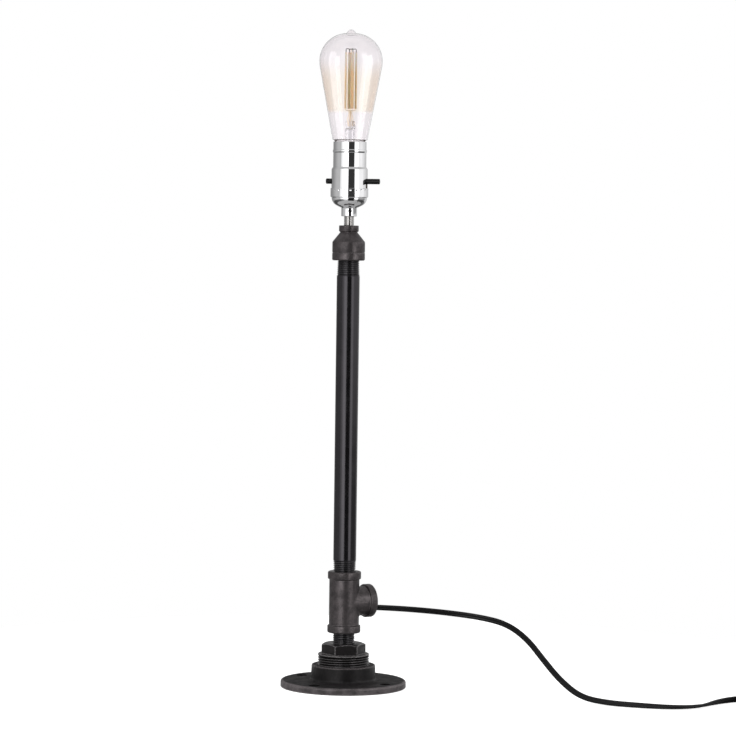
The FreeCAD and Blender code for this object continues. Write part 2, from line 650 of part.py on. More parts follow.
def tee():
    """Banded malleable tee with a cored inside and three threaded mouths."""
    body = new_body("tee")
    edge_foot = "tee_foot + band_width"
    edge_top = "tee_top - band_width"
    spin(body, "run", [
        ("0", "tee_foot"),
        ("band_od / 2 - band_edge", "tee_foot", "band_edge", 1),
        ("band_od / 2", "tee_foot + band_edge"),
        ("band_od / 2", edge_foot),
        ("tee_body / 2", edge_foot + " + band_slope"),
        ("tee_body / 2", edge_top + " - band_slope"),
        ("band_od / 2", edge_top),
        ("band_od / 2", "tee_top - band_edge", "band_edge", 1),
        ("band_od / 2 - band_edge", "tee_top"),
        ("0", "tee_top"),
    ])
    spin(body, "branch", [
        ("0", "0"),
        ("tee_branch", "0"),
        ("tee_branch", "band_od / 2 - band_edge", "band_edge", 1),
        ("tee_branch - band_edge", "band_od / 2"),
        ("tee_branch - band_width", "band_od / 2"),
        ("tee_branch - band_width - band_slope", "tee_neck / 2"),
        ("0", "tee_neck / 2"),
    ], axis="H_Axis", shift_y="tee_axis")
    DOC.recompute()
    joined = body.Tip
    saddle = [f"Edge{number}" for number, edge in enumerate(joined.Shape.Edges, start=1)
              if is_saddle(edge)]
    fillet = body.newObject("PartDesign::Fillet", "tee_saddle_fillet")
    fillet.Base = (joined, saddle)
    bind(fillet, "Radius", "tee_fillet")
    hollow = "tee_core / 2"
    spin(body, "run_bore", [
        ("0", "tee_foot"),
        ("mouth_od / 2", "tee_foot"),
        ("female_face - thread_taper * mouth_depth", "tee_foot + mouth_depth"),
        ("female_deep", "low_nipple_top"),
        (hollow, "low_nipple_top + core_slope"),
        (hollow, "pipe_foot - core_slope"),
        ("female_deep", "pipe_foot"),
        ("female_face - thread_taper * mouth_depth", "tee_top - mouth_depth"),
        ("mouth_od / 2", "tee_top"),
        ("0", "tee_top"),
    ], cut=True)
    spin(body, "branch_bore", [
        ("0", "0"),
        ("tee_branch", "0"),
        ("tee_branch", "mouth_od / 2"),
        ("tee_branch - mouth_depth", "female_face"),
        ("tee_branch - thread_engage", "female_face"),
        ("tee_branch - thread_engage - core_slope", "branch_core / 2"),
        ("0", "branch_core / 2"),
    ], cut=True, axis="H_Axis", shift_y="tee_axis")


def is_saddle(edge):
    """True for a curve where the branch's neck meets the body."""
    axis_z = value("tee_axis")
    for share in (0.2, 0.5, 0.8):
        first, last = edge.ParameterRange
        point = edge.valueAt(first + share * (last - first))
        on_body = abs(math.hypot(point.x, point.y) - value("tee_body / 2")) < 0.01
        on_neck = abs(math.hypot(point.y, point.z - axis_z) - value("tee_neck / 2")) < 0.01
        if not (on_body and on_neck and point.x > 0):
            return False
    return True


def reducing_coupling():
    """Reducer from the pipe down to the lamp nipple, with a band at each end."""
    body = new_body("reducing_coupling")
    wide = "reducer_od / 2"
    groove = "reducer_foot + reducer_band"
    cone_foot = "reducer_foot + reducer_body"
    neck = "reducer_foot + neck_height"
    top_r = "top_band_od / 2"
    spin(body, "casting", [
        ("mouth_od / 2", "reducer_foot"),
        (wide + " - band_edge", "reducer_foot", "band_edge", 1),
        (wide, "reducer_foot + band_edge"),
        (wide, groove + " - reducer_groove"),
        (wide + " - reducer_groove", groove),
        (wide, groove + " + reducer_groove"),
        (wide, cone_foot, "reducer_shoulder", 1),
        (wide + " - reducer_shoulder * (1 - cos(45))", cone_foot + " + reducer_shoulder * sin(45)"),
        ("reducer_neck / 2", neck),
        (top_r, "reducer_top - top_band"),
        (top_r, "reducer_top - top_round", "top_round", 1),
        (top_r + " - top_round", "reducer_top"),
        ("stem_hole", "reducer_top"),
        ("stem_hole", "stem_foot"),
        ("stem_bore / 2", "stem_foot"),
        ("stem_bore / 2", "stem_foot - stem_shelf"),
        ("reducer_cavity / 2", "pipe_top + cavity_slope"),
        ("female_deep", "pipe_top"),
        ("female_face - thread_taper * mouth_depth", "reducer_foot + mouth_depth"),
    ])


def lamp_nipple():
    """Thin threaded tube that carries the socket."""
    body = new_body("lamp_nipple")
    spin(body, "wall", [
        ("stem_bore / 2", "stem_foot"),
        ("stem_od / 2 - stem_edge", "stem_foot"),
        ("stem_od / 2", "stem_foot + stem_edge"),
        ("stem_od / 2", "stem_top - stem_edge"),
        ("stem_od / 2 - stem_edge", "stem_top"),
        ("stem_bore / 2", "stem_top"),
    ])


# ------------------------------------------------------------------------ socket
def socket_cap():
    """Pressed cap: hub, bowl and a bead that grips the shell."""
    body = new_body("socket_cap")
    hub_r = "cap_hub_od / 2"
    bore_r = "shell_r + sleeve_gap"
    spin(body, "pressing", [
        ("stem_hole", "cap_foot"),
        (hub_r + " - hub_bevel", "cap_foot"),
        (hub_r, "cap_foot + hub_bevel"),
        (hub_r, "bowl_meet", "bowl_floor", 1),
        ("blend_x", "bowl_top - blend_fall", "bowl_corner", 1),
        ("bowl_od / 2", "bowl_top"),
        ("cap_rim", "bead_foot"),
        ("cap_rim", "cap_top - lip_bevel"),
        ("cap_rim - lip_bevel", "cap_top"),
        (bore_r, "cap_top"),
        (bore_r, "bead_foot + bead_floor"),
        ("bowl_od / 2 - cap_wall", "bowl_top + sleeve_gap"),
        ("bowl_od / 2 - cap_wall", "bowl_top", "bowl_corner - cap_wall", -1),
        ("inner_blend_x", "inner_blend_z", "inner_floor", -1),
        ("stem_hole", "inner_floor_z"),
    ])
    sketch = new_sketch(body, "screw_hole", "YZ_Plane")
    circle(sketch, "0", "cap_foot + set_screw_rise", "set_screw_od + 2 * thread_fit")
    extrude(body, sketch, hub_r + " + 2", cut=True, backwards=True)
    bind(body, "Placement.Rotation.Angle", "set_screw_turn")
    sketch = new_sketch(body, "dimple", "YZ_Plane", lift="cap_rim + 1 - dimple_depth")
    circle(sketch, "0", "cap_top - dimple_drop", "dimple_od")
    dimple = extrude(body, sketch, "1", cut=True, backwards=True)
    around(body, dimple, "dimple_count")


def set_screw():
    """Slotted screw that locks the cap on its nipple."""
    body = new_body("set_screw", turn="set_screw_turn")
    radius = "set_screw_od / 2"
    near = "stem_hole"
    far = "cap_hub_od / 2 + set_screw_proud"
    spin(body, "shank", [
        (near, "0"),
        (far, "0"),
        (far, radius + " - set_screw_edge"),
        (far + " - set_screw_edge", radius),
        (near + " + set_screw_point", radius),
        (near, radius + " - set_screw_point"),
    ], axis="H_Axis", shift_y="cap_foot + set_screw_rise")
    sketch = new_sketch(body, "slot", "YZ_Plane", shift_y="cap_foot + set_screw_rise", lift=far)
    half = "set_screw_slot / 2"
    outline(sketch, rectangle("-" + radius + " - 1", "-" + half, radius + " + 1", half))
    extrude(body, sketch, "set_screw_deep", cut=True)


def notches(body, radius, foot):
    """Cut the two open notches that let the rod through a sleeve."""
    sketch = new_sketch(body, "notch", "YZ_Plane")
    half = "notch / 2"
    outline(sketch, [
        ("-" + half, foot + " - 1"),
        (half, foot + " - 1"),
        (half, "rod_z", half, 1),
        ("0", "rod_z + " + half, half, 1),
        ("-" + half, "rod_z"),
    ])
    extrude(body, sketch, "2 * " + radius + " + 4", cut=True, middle=True)


def socket_shell():
    """Drawn shell with a rolled bead and notches for the rod."""
    body = new_body("socket_shell", turn="socket_turn")
    bead_half = "shell_bead / 2"
    inner_bead = "(shell_bead_round - shell_wall)"
    wall = " - shell_wall"
    spin(body, "drawing", [
        ("shell_r", "shell_foot"),
        ("shell_r", "step_z - shell_step"),
        ("neck_r", "step_z"),
        ("neck_r", "bead_z - " + bead_half, "shell_bead_round", 1),
        ("neck_r", "bead_z + " + bead_half),
        ("neck_r", "rim_z - shell_lip_high", "shell_lip_round", 1),
        ("neck_r - shell_lip", "rim_z"),
        ("neck_r - shell_lip" + wall, "rim_z - shell_lip_edge"),
        ("neck_r" + wall, "rim_z - shell_lip_high - shell_lip_edge"),
        ("neck_r" + wall, "bead_z + " + bead_half + " * 0.9", inner_bead, -1),
        ("neck_r" + wall, "bead_z - " + bead_half + " * 0.9"),
        ("neck_r" + wall, "step_z - shell_lean"),
        ("shell_r" + wall, "step_z - shell_step - shell_lean"),
        ("shell_r" + wall, "shell_foot"),
    ])
    notches(body, "shell_r", "shell_foot")


def insulating_liner():
    """Card sleeve between the shell and the live parts."""
    body = new_body("insulating_liner", turn="socket_turn")
    spin(body, "card", [
        ("liner_r - liner_wall", "shell_foot + liner_drop"),
        ("liner_r", "shell_foot + liner_drop"),
        ("liner_r", "step_z - shell_step - liner_drop"),
        ("liner_neck_r", "step_z - liner_drop"),
        ("liner_neck_r", "liner_top"),
        ("liner_neck_r - liner_wall", "liner_top"),
        ("liner_neck_r - liner_wall", "step_z - 1.5 * liner_drop"),
        ("liner_r - liner_wall", "step_z - shell_step - 1.5 * liner_drop"),
    ])
    notches(body, "shell_r", "shell_foot")


def socket_interior():
    """Phenolic body that holds the switch, the contacts and the screw shell."""
    body = new_body("socket_interior", turn="socket_turn")
    spin(body, "moulding", [
        ("0", "body_foot"),
        ("body_od / 2 - body_bevel", "body_foot"),
        ("body_od / 2", "body_foot + body_bevel"),
        ("body_od / 2", "body_top - body_bevel"),
        ("body_od / 2 - body_bevel", "body_top"),
        ("0", "body_top"),
    ])
    half_seat = "terminal_seat / 2"
    seat = rectangle("-" + half_seat, "terminal_z - " + half_seat,
                     half_seat, "terminal_z + " + half_seat)
    sketch = new_sketch(body, "boss", "XZ_Plane")
    outline(sketch, seat)
    extrude(body, sketch, "2 * seat_face", middle=True)
    channel = rectangle("-" + half_seat, "body_foot - body_bevel",
                        half_seat, "terminal_z + " + half_seat)
    for name, side in (("front_channel", "seat_face"), ("back_channel", "-seat_face")):
        sketch = new_sketch(body, name, "XZ_Plane", lift=side)
        outline(sketch, channel)
        extrude(body, sketch, "terminal_head + terminal_gap", cut=True,
                backwards=name == "front_channel")
    sketch = new_sketch(body, "pocket", "XY_Plane", lift="body_foot")
    half_long, half_wide = "pocket_length / 2", "pocket_width / 2"
    outline(sketch, rectangle("-" + half_long, "-" + half_wide, half_long, half_wide))
    extrude(body, sketch, "body_low + pocket_rise", cut=True, backwards=True)
    sketch = new_sketch(body, "rod_hole", "YZ_Plane")
    circle(sketch, "0", "rod_z", "rod_od + 2 * rod_play")
    extrude(body, sketch, "body_od + 2", cut=True, middle=True)
    sketch = new_sketch(body, "terminal_hole", "XZ_Plane")
    circle(sketch, "0", "terminal_z", "terminal_shank + 2 * thread_fit")
    extrude(body, sketch, "2 * seat_face + 2", cut=True, middle=True)


def screw_shell():
    """Thin metal sleeve that the bulb screws into."""
    body = new_body("screw_shell")
    bore = "screw_shell_bore / 2"
    outer = bore + " + screw_shell_wall"
    spin(body, "sleeve", [
        ("screw_shell_hole / 2", "body_top"),
        (outer + " - 0.8", "body_top"),
        (outer, "body_top + 0.8"),
        (outer, "screw_shell_top"),
        (bore, "screw_shell_top"),
        (bore, "body_top + 0.9"),
        (bore + " - 0.6", "body_top + screw_shell_wall"),
        ("screw_shell_hole / 2", "body_top + screw_shell_wall"),
    ])


def centre_contact():
    """Springy strip under the bulb's tip, fixed at one end."""
    body = new_body("centre_contact", turn="socket_turn")
    sketch = new_sketch(body, "strip", "XZ_Plane")
    back = "-contact_length / 2"
    front = "contact_length / 2"
    lift = "body_top + contact_rise"
    outline(sketch, [
        (back, "body_top"),
        (back + " + 4", "body_top"),
        (back + " + 6.5", lift),
        (front, lift + " - 0.3"),
        (front, lift + " - 0.3 + contact_thick"),
        (back + " + 6.5", lift + " + contact_thick"),
        (back + " + 4", "body_top + contact_thick"),
        (back, "body_top + contact_thick"),
    ])
    extrude(body, sketch, "contact_width", middle=True)


def terminal_screws():
    """One terminal screw on each side of the phenolic body."""
    body = new_body("terminal_screws", turn="socket_turn")
    face = "seat_face"
    shank = "terminal_shank / 2"
    head = "terminal_od / 2"
    sketch = new_sketch(body, "screw", "YZ_Plane", shift_y="terminal_z")
    outline(sketch, [
        (face + " - terminal_depth", "0"),
        (face + " + terminal_head", "0"),
        (face + " + terminal_head", head + " - terminal_edge"),
        (face + " + terminal_head - terminal_edge", head),
        (face, head),
        (face, shank),
        (face + " - terminal_depth", shank),
    ])
    screw = body.newObject("PartDesign::Revolution", "terminal_screw_turned")
    screw.Profile = sketch
    screw.ReferenceAxis = (sketch, ["H_Axis"])
    screw.Angle = 360
    around(body, screw, "2")


# ------------------------------------------------------------------------ switch
def switch_rod():
    """Push-through rod, pushed from either end."""
    body = new_body("switch_rod", turn="socket_turn")
    radius = "rod_od / 2"
    spin(body, "rod", [
        ("-rod_left", "0"),
        ("rod_right", "0"),
        ("rod_right", radius + " - rod_edge", "rod_edge", 1),
        ("rod_right - rod_edge", radius),
        ("rod_edge - rod_left", radius, "rod_edge", 1),
        ("-rod_left", radius + " - rod_edge"),
    ], axis="H_Axis", shift_y="rod_z")


def contact_collar():
    """Metal collar that the rod carries between the switch's two states."""
    body = new_body("contact_collar", turn="socket_turn")
    middle = "(rod_right - rod_left) / 2"
    bore = "rod_od / 2 + 0.02"
    outer = "collar_od / 2"
    spin(body, "collar", [
        (middle + " - collar_length / 2", bore),
        (middle + " + collar_length / 2", bore),
        (middle + " + collar_length / 2", outer + " - 0.5"),
        (middle + " + collar_length / 2 - 0.5", outer),
        (middle + " - collar_length / 2 + 0.5", outer),
        (middle + " - collar_length / 2", outer + " - 0.5"),
    ], axis="H_Axis", shift_y="rod_z")


def detent_spring():
    """Leaf under the pocket's roof that holds the rod at either end of its travel."""
    body = new_body("detent_spring", turn="socket_turn")
    roof = "rod_z + pocket_rise"
    end = "spring_length / 2"
    sag = "rod_z + collar_od / 2 + spring_gap"
    sketch = new_sketch(body, "leaf", "XZ_Plane")
    outline(sketch, [
        ("-" + end, roof + " - spring_thick"),
        ("-" + end + " + 2", roof + " - spring_thick"),
        ("0", sag),
        (end + " - 2", roof + " - spring_thick"),
        (end, roof + " - spring_thick"),
        (end, roof),
        (end + " - 2", roof),
        ("0", sag + " + spring_thick"),
        ("-" + end + " + 2", roof),
        ("-" + end, roof),
    ])
    extrude(body, sketch, "spring_width", middle=True)


# -------------------------------------------------------------------------- bulb
def bulb_glass():
    """Blown pear-shaped glass with a sealed tip."""
    body = new_body("bulb_glass")
    neck = "bulb_neck / 2"
    wall = " - glass_wall"
    spin(body, "blown", [
        (neck, "neck_foot"),
        (neck, "bulb_cap_top + 0.6"),
        ("bulb_throat / 2", "throat_z", "bulb_foot_round", 1),
        ("foot_x", "foot_z"),
        ("belly_x", "belly_z", "bulb_belly", 1),
        ("waist_r", "waist_z", "bulb_crown", 1),
        ("tip_x", "tip_z", "tip_flare", -1),
        ("tip_end_x", "tip_end_z", "tip_round", 1),
        ("0", "tip_top"),
        ("0", "inside_top"),
        ("crown_x", "inside_top", "inside_crown", -1),
        ("waist_r" + wall, "waist_z", "bulb_belly" + wall, -1),
        ("belly_x - glass_wall * cos(bulb_cone)", "belly_z + glass_wall * sin(bulb_cone)"),
        ("foot_x - glass_wall * cos(bulb_cone)", "foot_z + glass_wall * sin(bulb_cone)",
         "bulb_foot_round" + wall, -1),
        ("bulb_throat / 2" + wall, "inner_throat_z"),
        (neck + wall, "bulb_cap_top + 1.2"),
        (neck + wall, "neck_foot"),
    ])


def bulb_cap():
    """Screw cap of the bulb, at its core diameter."""
    body = new_body("bulb_cap")
    outer = "bulb_cap_od / 2"
    lip = "insulator_od / 2"
    wall = "bulb_cap_wall"
    spin(body, "shell", [
        (lip + " - 1", "bulb_cap_z"),
        (lip + " + 0.2", "bulb_cap_z"),
        (outer, "bulb_cap_z + 1.6"),
        (outer, "bulb_cap_top"),
        (outer + " - " + wall, "bulb_cap_top"),
        (outer + " - " + wall, "bulb_cap_z + 1.8"),
        (lip, "bulb_cap_z + " + wall),
        (lip + " - 1", "bulb_cap_z + " + wall),
    ])


def bulb_insulator():
    """Glass cone between the bulb's cap and its tip contact."""
    body = new_body("bulb_insulator")
    spin(body, "cone", [
        ("0", "insulator_z"),
        ("button_od / 2 + 0.4", "insulator_z"),
        ("insulator_od / 2", "bulb_cap_z - 0.6"),
        ("insulator_od / 2", "bulb_cap_z"),
        ("0", "bulb_cap_z"),
    ])


def bulb_tip_contact():
    """Soldered button at the bulb's foot."""
    body = new_body("bulb_tip_contact")
    spin(body, "button", [
        ("0", "button_z"),
        ("button_od / 2 - 1.2", "button_z"),
        ("button_od / 2", "button_z + 0.7"),
        ("button_od / 2", "insulator_z"),
        ("0", "insulator_z"),
    ])


def bulb_mount():
    """Flared glass mount that seals the neck and carries the wires."""
    body = new_body("bulb_mount")
    rim = "bulb_neck / 2 - glass_wall - 0.05"
    tube = "mount_tube / 2"
    wall = " - mount_wall"
    spin(body, "flare", [
        (rim, "neck_foot"),
        (rim, "neck_foot + 1.2"),
        (tube, "neck_foot + mount_flare_high"),
        (tube, "mount_top - 2"),
        (tube + " - 2", "mount_top"),
        ("0", "mount_top"),
        ("0", "mount_top - 3"),
        (tube + wall + " - 1", "mount_top - 3"),
        (tube + wall, "mount_top - 4"),
        (tube + wall, "neck_foot + mount_flare_high - 0.4"),
        (rim + wall, "neck_foot + 0.8"),
        (rim + wall, "neck_foot"),
    ])


def bulb_filaments():
    """Upright light strips standing in a ring."""
    body = new_body("bulb_filaments", turn="filament_turn")
    sketch = new_sketch(body, "strip", "XY_Plane", lift="filament_foot")
    middle = "filament_circle / 2"
    thick, wide = "filament_thick / 2", "filament_width / 2"
    outline(sketch, rectangle(middle + " - " + thick, "-" + wide, middle + " + " + thick, wide))
    strip = extrude(body, sketch, "filament_length")
    around(body, strip, "filament_count")


def bulb_wires():
    """Centre post and the wires that hold the strips at both ends."""
    body = new_body("bulb_wires", turn="filament_turn")
    post = "post_od / 2"
    spin(body, "post", [
        ("0", "mount_top"),
        (post, "mount_top"),
        (post, "filament_top + wire_od"),
        ("0", "filament_top + wire_od"),
    ])
    for name, low in (("upper", "filament_top"), ("lower", "filament_foot - wire_od")):
        sketch = new_sketch(body, name, "XY_Plane", lift=low)
        reach = "filament_circle / 2 + filament_thick / 2"
        outline(sketch, rectangle("0", "-wire_od / 2", reach, "wire_od / 2"))
        around(body, extrude(body, sketch, "wire_od"), "filament_count")


# ------------------------------------------------------------------ cord and plug
def rounded_path(points):
    """Straight runs joined by tangent arcs, each as large as its runs allow.

    An arc's radius is 0.45 of the shorter run over the tangent of half the turn.
    """
    edges = []
    here = points[0]
    radii = []
    for before, corner, after in zip(points, points[1:], points[2:]):
        back, ahead = before - corner, after - corner
        reach = 0.45 * min(back.Length, ahead.Length)
        turn = math.pi - back.getAngle(ahead)
        radii.append(reach / math.tan(turn / 2))
        back.normalize()
        ahead.normalize()
        start, end = corner + back * reach, corner + ahead * reach
        bisector = (back + ahead).normalize()
        centre = corner + bisector * (radii[-1] / math.cos(turn / 2))
        crown = centre - bisector * radii[-1]
        edges.append(Part.LineSegment(here, start).toShape())
        edges.append(Part.Arc(start, crown, end).toShape())
        here = end
    edges.append(Part.LineSegment(here, points[-1]).toShape())
    return Part.Wire(edges), radii


def tube(label, points, diameter):
    """A round tube along rounded runs, checked against section times length."""
    path, radii = rounded_path(points)
    start = points[0]
    ring = Part.Circle(start, points[1] - start, diameter / 2)
    shape = path.makePipeShell([Part.Wire([ring.toShape()])], True, False)
    expected = math.pi * diameter ** 2 / 4 * path.Length
    print(f"{label}: length {path.Length:.1f}, smallest radius {min(radii):.1f}, "
          f"volume {shape.Volume / expected:.4f} of section times length")
    return add_shape(label, shape)


def add_shape(label, shape):
    """A sub-part whose shape is set here."""
    feature = DOC.addObject("Part::Feature", label)
    feature.Label = label
    feature.Shape = shape
    PARTS.append(feature)
    return feature


def exit_point():
    """Where the cord's middle leaves the branch's mouth."""
    return Vector(value("tee_branch + 0.2"), value("cord_exit_side"), value("exit_z"))


def inner_cord():
    """The cord's length inside: in at the branch, up the pipe, into the cap."""
    mouth = exit_point()
    outward = Vector(*CORD_ROUTE[0]) - mouth
    level = mouth.z
    top = value("stem_top + cord_proud")
    points = [
        mouth,
        mouth - outward.normalize() * (value("tee_branch") / 2),
        Vector(0, 0, level + value("cord_od") / 2),
    ]
    rise = top - level
    wander = value("cord_wander")
    for share, across, along in ((0.08, 0, 0), (0.2, 1, 0.7), (0.345, -1, 0.3), (0.49, 0.7, -1),
                                 (0.64, 0, 0), (0.82, 0, 0.1), (1, 0, 0)):
        points.append(Vector(across * wander, along * wander, level + share * rise))
    tube("inner_cord", points, value("cord_od"))


def conductors():
    """Two bared conductors from the cord's end to the terminal screws."""
    turn = FreeCAD.Rotation(Vector(0, 0, 1), value("socket_turn"))
    low = value("stem_top + cord_proud")
    side = value("seat_face + terminal_head / 2")
    end = value("terminal_z - terminal_od / 2")
    pair = []
    for way in (1, -1):
        start = value("core_spread") / 2
        points = [turn.multVec(Vector(0, way * across, level)) for across, level in (
            (start, low),
            (start, low + value("core_rise")),
            (side, value("body_foot") - value("core_od")),
            (side, end),
        )]
        path, _ = rounded_path(points)
        ring = Part.Circle(points[0], points[1] - points[0], value("core_od") / 2)
        pair.append(path.makePipeShell([Part.Wire([ring.toShape()])], True, False))
    add_shape("conductors", Part.makeCompound(pair))


def cord_tube():
    """The loose cord from the branch's mouth to the coil."""
    tube("cord_tube", [exit_point()] + [Vector(*point) for point in CORD_ROUTE], value("cord_od"))


def cord_coil():
    """Outer shape of the wound-up length of cord."""
    body = new_body("cord_coil", across="coil_x", along="coil_y", up="tie_thick + tie_gap")
    spin(body, "ring", [
        ("coil_inner + coil_round", "0"),
        ("coil_outer - coil_round", "0", "coil_round", 1),
        ("coil_outer", "coil_round"),
        ("coil_outer", "coil_height - coil_round", "coil_round", 1),
        ("coil_outer - coil_round", "coil_height"),
        ("coil_inner + coil_round", "coil_height", "coil_round", 1),
        ("coil_inner", "coil_height - coil_round"),
        ("coil_inner", "coil_round", "coil_round", 1),
    ])
    return body


def cord_tie():
    """Band round the coil's turns."""
    body = new_body("cord_tie", across="coil_x", along="coil_y")
    left, right = "coil_inner - tie_slack", "coil_outer + tie_slack"
    high = "tie_thick + coil_height + 2 * tie_gap"
    sketch = new_sketch(body, "band", "XZ_Plane")
    outline(sketch, rectangle(left + " - tie_thick", "0",
                              right + " + tie_thick", high + " + tie_thick"))
    extrude(body, sketch, "tie_width", middle=True)
    sketch = new_sketch(body, "opening", "XZ_Plane")
    outline(sketch, rectangle(left, "tie_thick", right, high))
    extrude(body, sketch, "tie_width + 2", cut=True, middle=True)


def plug_body():
    """Moulded plug lying beside the coil, its grip tapering to the cord."""
    body = new_body("plug_body", across="coil_x + coil_middle / 2", along="coil_y - plug_reach")
    sketch = new_sketch(body, "face", "XZ_Plane")
    half = "plug_width / 2"
    outline(sketch, [
        (half + " - plug_round", "0", "plug_round", 1),
        (half, "plug_round"),
        (half, "plug_depth - plug_round", "plug_round", 1),
        (half + " - plug_round", "plug_depth"),
        ("plug_round - " + half, "plug_depth", "plug_round", 1),
        ("-" + half, "plug_depth - plug_round"),
        ("-" + half, "plug_round", "plug_round", 1),
        ("plug_round - " + half, "0"),
    ])
    extrude(body, sketch, "plug_length")
    sketch = new_sketch(body, "grip", "XZ_Plane")
    circle(sketch, "0", "plug_depth / 2", "plug_depth - 0.6")
    grip = body.newObject("PartDesign::AdditiveLoft", "plug_grip")
    grip.Profile = sketch
    tail = new_sketch(body, "tail", "XZ_Plane", lift="-plug_taper")
    circle(tail, "0", "plug_depth / 2", "plug_tail_od")
    grip.Sections = [tail]


def plug_blades():
    """Two flat blades."""
    body = new_body("plug_blades", across="coil_x + coil_middle / 2", along="coil_y - plug_reach")
    sketch = new_sketch(body, "pair", "XZ_Plane", lift="plug_length")
    thick, half = "blade_thick / 2", "blade_width / 2"
    for side in ("blade_pitch / 2", "-blade_pitch / 2"):
        outline(sketch, rectangle(side + " - " + thick, "plug_depth / 2 - " + half,
                                  side + " + " + thick, "plug_depth / 2 + " + half))
    extrude(body, sketch, "blade_length")


def cord_tail(coil):
    """Short end of the cord between the coil's outside and the plug."""
    x = value("coil_x + coil_middle / 2")
    y = value("coil_y")
    level = value("plug_depth / 2")
    start = y - value("coil_inner")
    end = y - value("plug_reach") + value("plug_taper")
    whole = Part.makeCylinder(value("cord_r"), start - end, Vector(x, start, level), Vector(0, -1, 0))
    DOC.recompute()
    add_shape("cord_tail", whole.cut(coil.Shape))


def main():
    fill_sheet()
    base_flange()
    reducing_bushing()
    threaded_tube("lower_nipple", "low_nipple_foot", "low_nipple_top", "hex_top", "tee_foot")
    tee()
    threaded_tube("main_pipe", "pipe_foot", "pipe_top", "tee_top", "reducer_foot",
                  "low_thread_show", "high_thread_show")
    reducing_coupling()
    lamp_nipple()
    socket_cap()
    set_screw()
    socket_shell()
    insulating_liner()
    socket_interior()
    screw_shell()
    centre_contact()
    terminal_screws()
    switch_rod()
    contact_collar()
    detent_spring()
    bulb_glass()
    bulb_cap()
    bulb_insulator()
    bulb_tip_contact()
    bulb_mount()
    bulb_filaments()
    bulb_wires()
    inner_cord()
    conductors()
    cord_tube()
    coil = cord_coil()
    cord_tie()
    cord_tail(coil)
    plug_body()
    plug_blades()
    DOC.recompute()
    check_and_write()


def check_and_write():
    """Stop on any failed object or bad shape, then write one file per sub-part."""
    for item in DOC.Objects:
        if "Invalid" in item.State or "Error" in item.State:
            raise RuntimeError(f"{item.Label} failed: {item.State}")
    for part in PARTS:
        if part.Shape.isNull() or not part.Shape.isValid():
            raise RuntimeError(f"{part.Label} has no valid shape")
    os.makedirs("parts", exist_ok=True)
    for part in PARTS:
        part.Shape.exportStep(f"parts/{part.Label}.step")
        print(f"{part.Label}: {len(part.Shape.Solids)} solid(s), {part.Shape.Volume:.1f} mm3")


main()
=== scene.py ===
"""Pipe table lamp: the finished looks of its fittings, socket, bulb and cord.

Sizes are in millimetres and angles in degrees unless a name says otherwise.
Every mesh is written in metres, in the frame's own place, with its object at
the origin.
"""

import logging
import math
from dataclasses import dataclass, field
from enum import Enum
from typing import Callable, Optional, Sequence, Union

import bmesh
import bpy
import numpy as np
from mathutils import Matrix, Vector


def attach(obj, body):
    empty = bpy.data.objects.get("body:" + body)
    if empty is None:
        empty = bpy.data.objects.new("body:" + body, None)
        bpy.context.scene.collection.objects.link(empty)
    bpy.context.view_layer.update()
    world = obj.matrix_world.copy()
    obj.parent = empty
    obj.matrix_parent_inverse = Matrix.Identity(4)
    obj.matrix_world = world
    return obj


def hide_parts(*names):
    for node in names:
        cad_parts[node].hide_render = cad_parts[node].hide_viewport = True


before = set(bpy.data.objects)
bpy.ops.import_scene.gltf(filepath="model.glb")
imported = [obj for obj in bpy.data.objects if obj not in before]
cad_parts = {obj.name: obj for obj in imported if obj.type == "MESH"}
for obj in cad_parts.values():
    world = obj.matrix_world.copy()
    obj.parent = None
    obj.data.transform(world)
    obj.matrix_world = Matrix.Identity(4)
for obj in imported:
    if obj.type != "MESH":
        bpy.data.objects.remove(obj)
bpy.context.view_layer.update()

MM = 0.001
LOG = logging.getLogger("lamp")

Colour = tuple[float, float, float]
Corner = tuple[float, ...]
Point = tuple[float, float, float]
Piece = bpy.types.Object
Results = dict[str, "Result"]
Value = Union[float, Colour, "Result", bpy.types.NodeSocket, bpy.types.Material, None]


class Body(Enum):
    """The bodies that pieces ride on."""

    LAMP = "lamp"
    SWITCH = "switch"
    BULB = "bulb"


# ------------------------------------------------------------------ levels


@dataclass(frozen=True)
class Levels:
    """Heights and places that several sub-assemblies share."""

    hub_top: float = 21.0
    hex_foot: float = 31.3
    hex_top: float = 41.0
    tee_foot: float = 50.9
    tee_top: float = 108.2
    reducer_foot: float = 397.8
    reducer_top: float = 430.2
    cap_foot: float = 438.7
    cap_top: float = 464.6625
    rod_z: float = 471.0625
    rim_z: float = 507.7625
    engage: float = 12.5
    socket_turn: float = 316.0


LEVELS = Levels()


# ------------------------------------------------------- outlines and meshes


def arc_points(start: Vector, end: Vector, radius: float, side: float,
               step: float) -> list[Vector]:
    """Points of the short arc between two points.

    Args:
        start: First point, which is left out of the result.
        end: Last point, which is part of the result.
        radius: The arc's radius.
        side: +1 if the centre is left of the way, -1 if right.
        step: Largest angle between points.

    Returns:
        The points after start, up to end.
    """
    chord = end - start
    half = chord.length / 2
    away = Vector((-chord.y, chord.x)).normalized() * side
    centre = start + chord / 2 + away * math.sqrt(max(radius ** 2 - half ** 2, 0.0))
    sweep = 2 * math.asin(min(half / radius, 1.0)) * side
    count = max(2, math.ceil(math.degrees(abs(sweep)) / step))
    first = math.atan2(start.y - centre.y, start.x - centre.x)
    return [centre + Vector((math.cos(first + sweep * k / count),
                             math.sin(first + sweep * k / count))) * radius
            for k in range(1, count)] + [end.copy()]


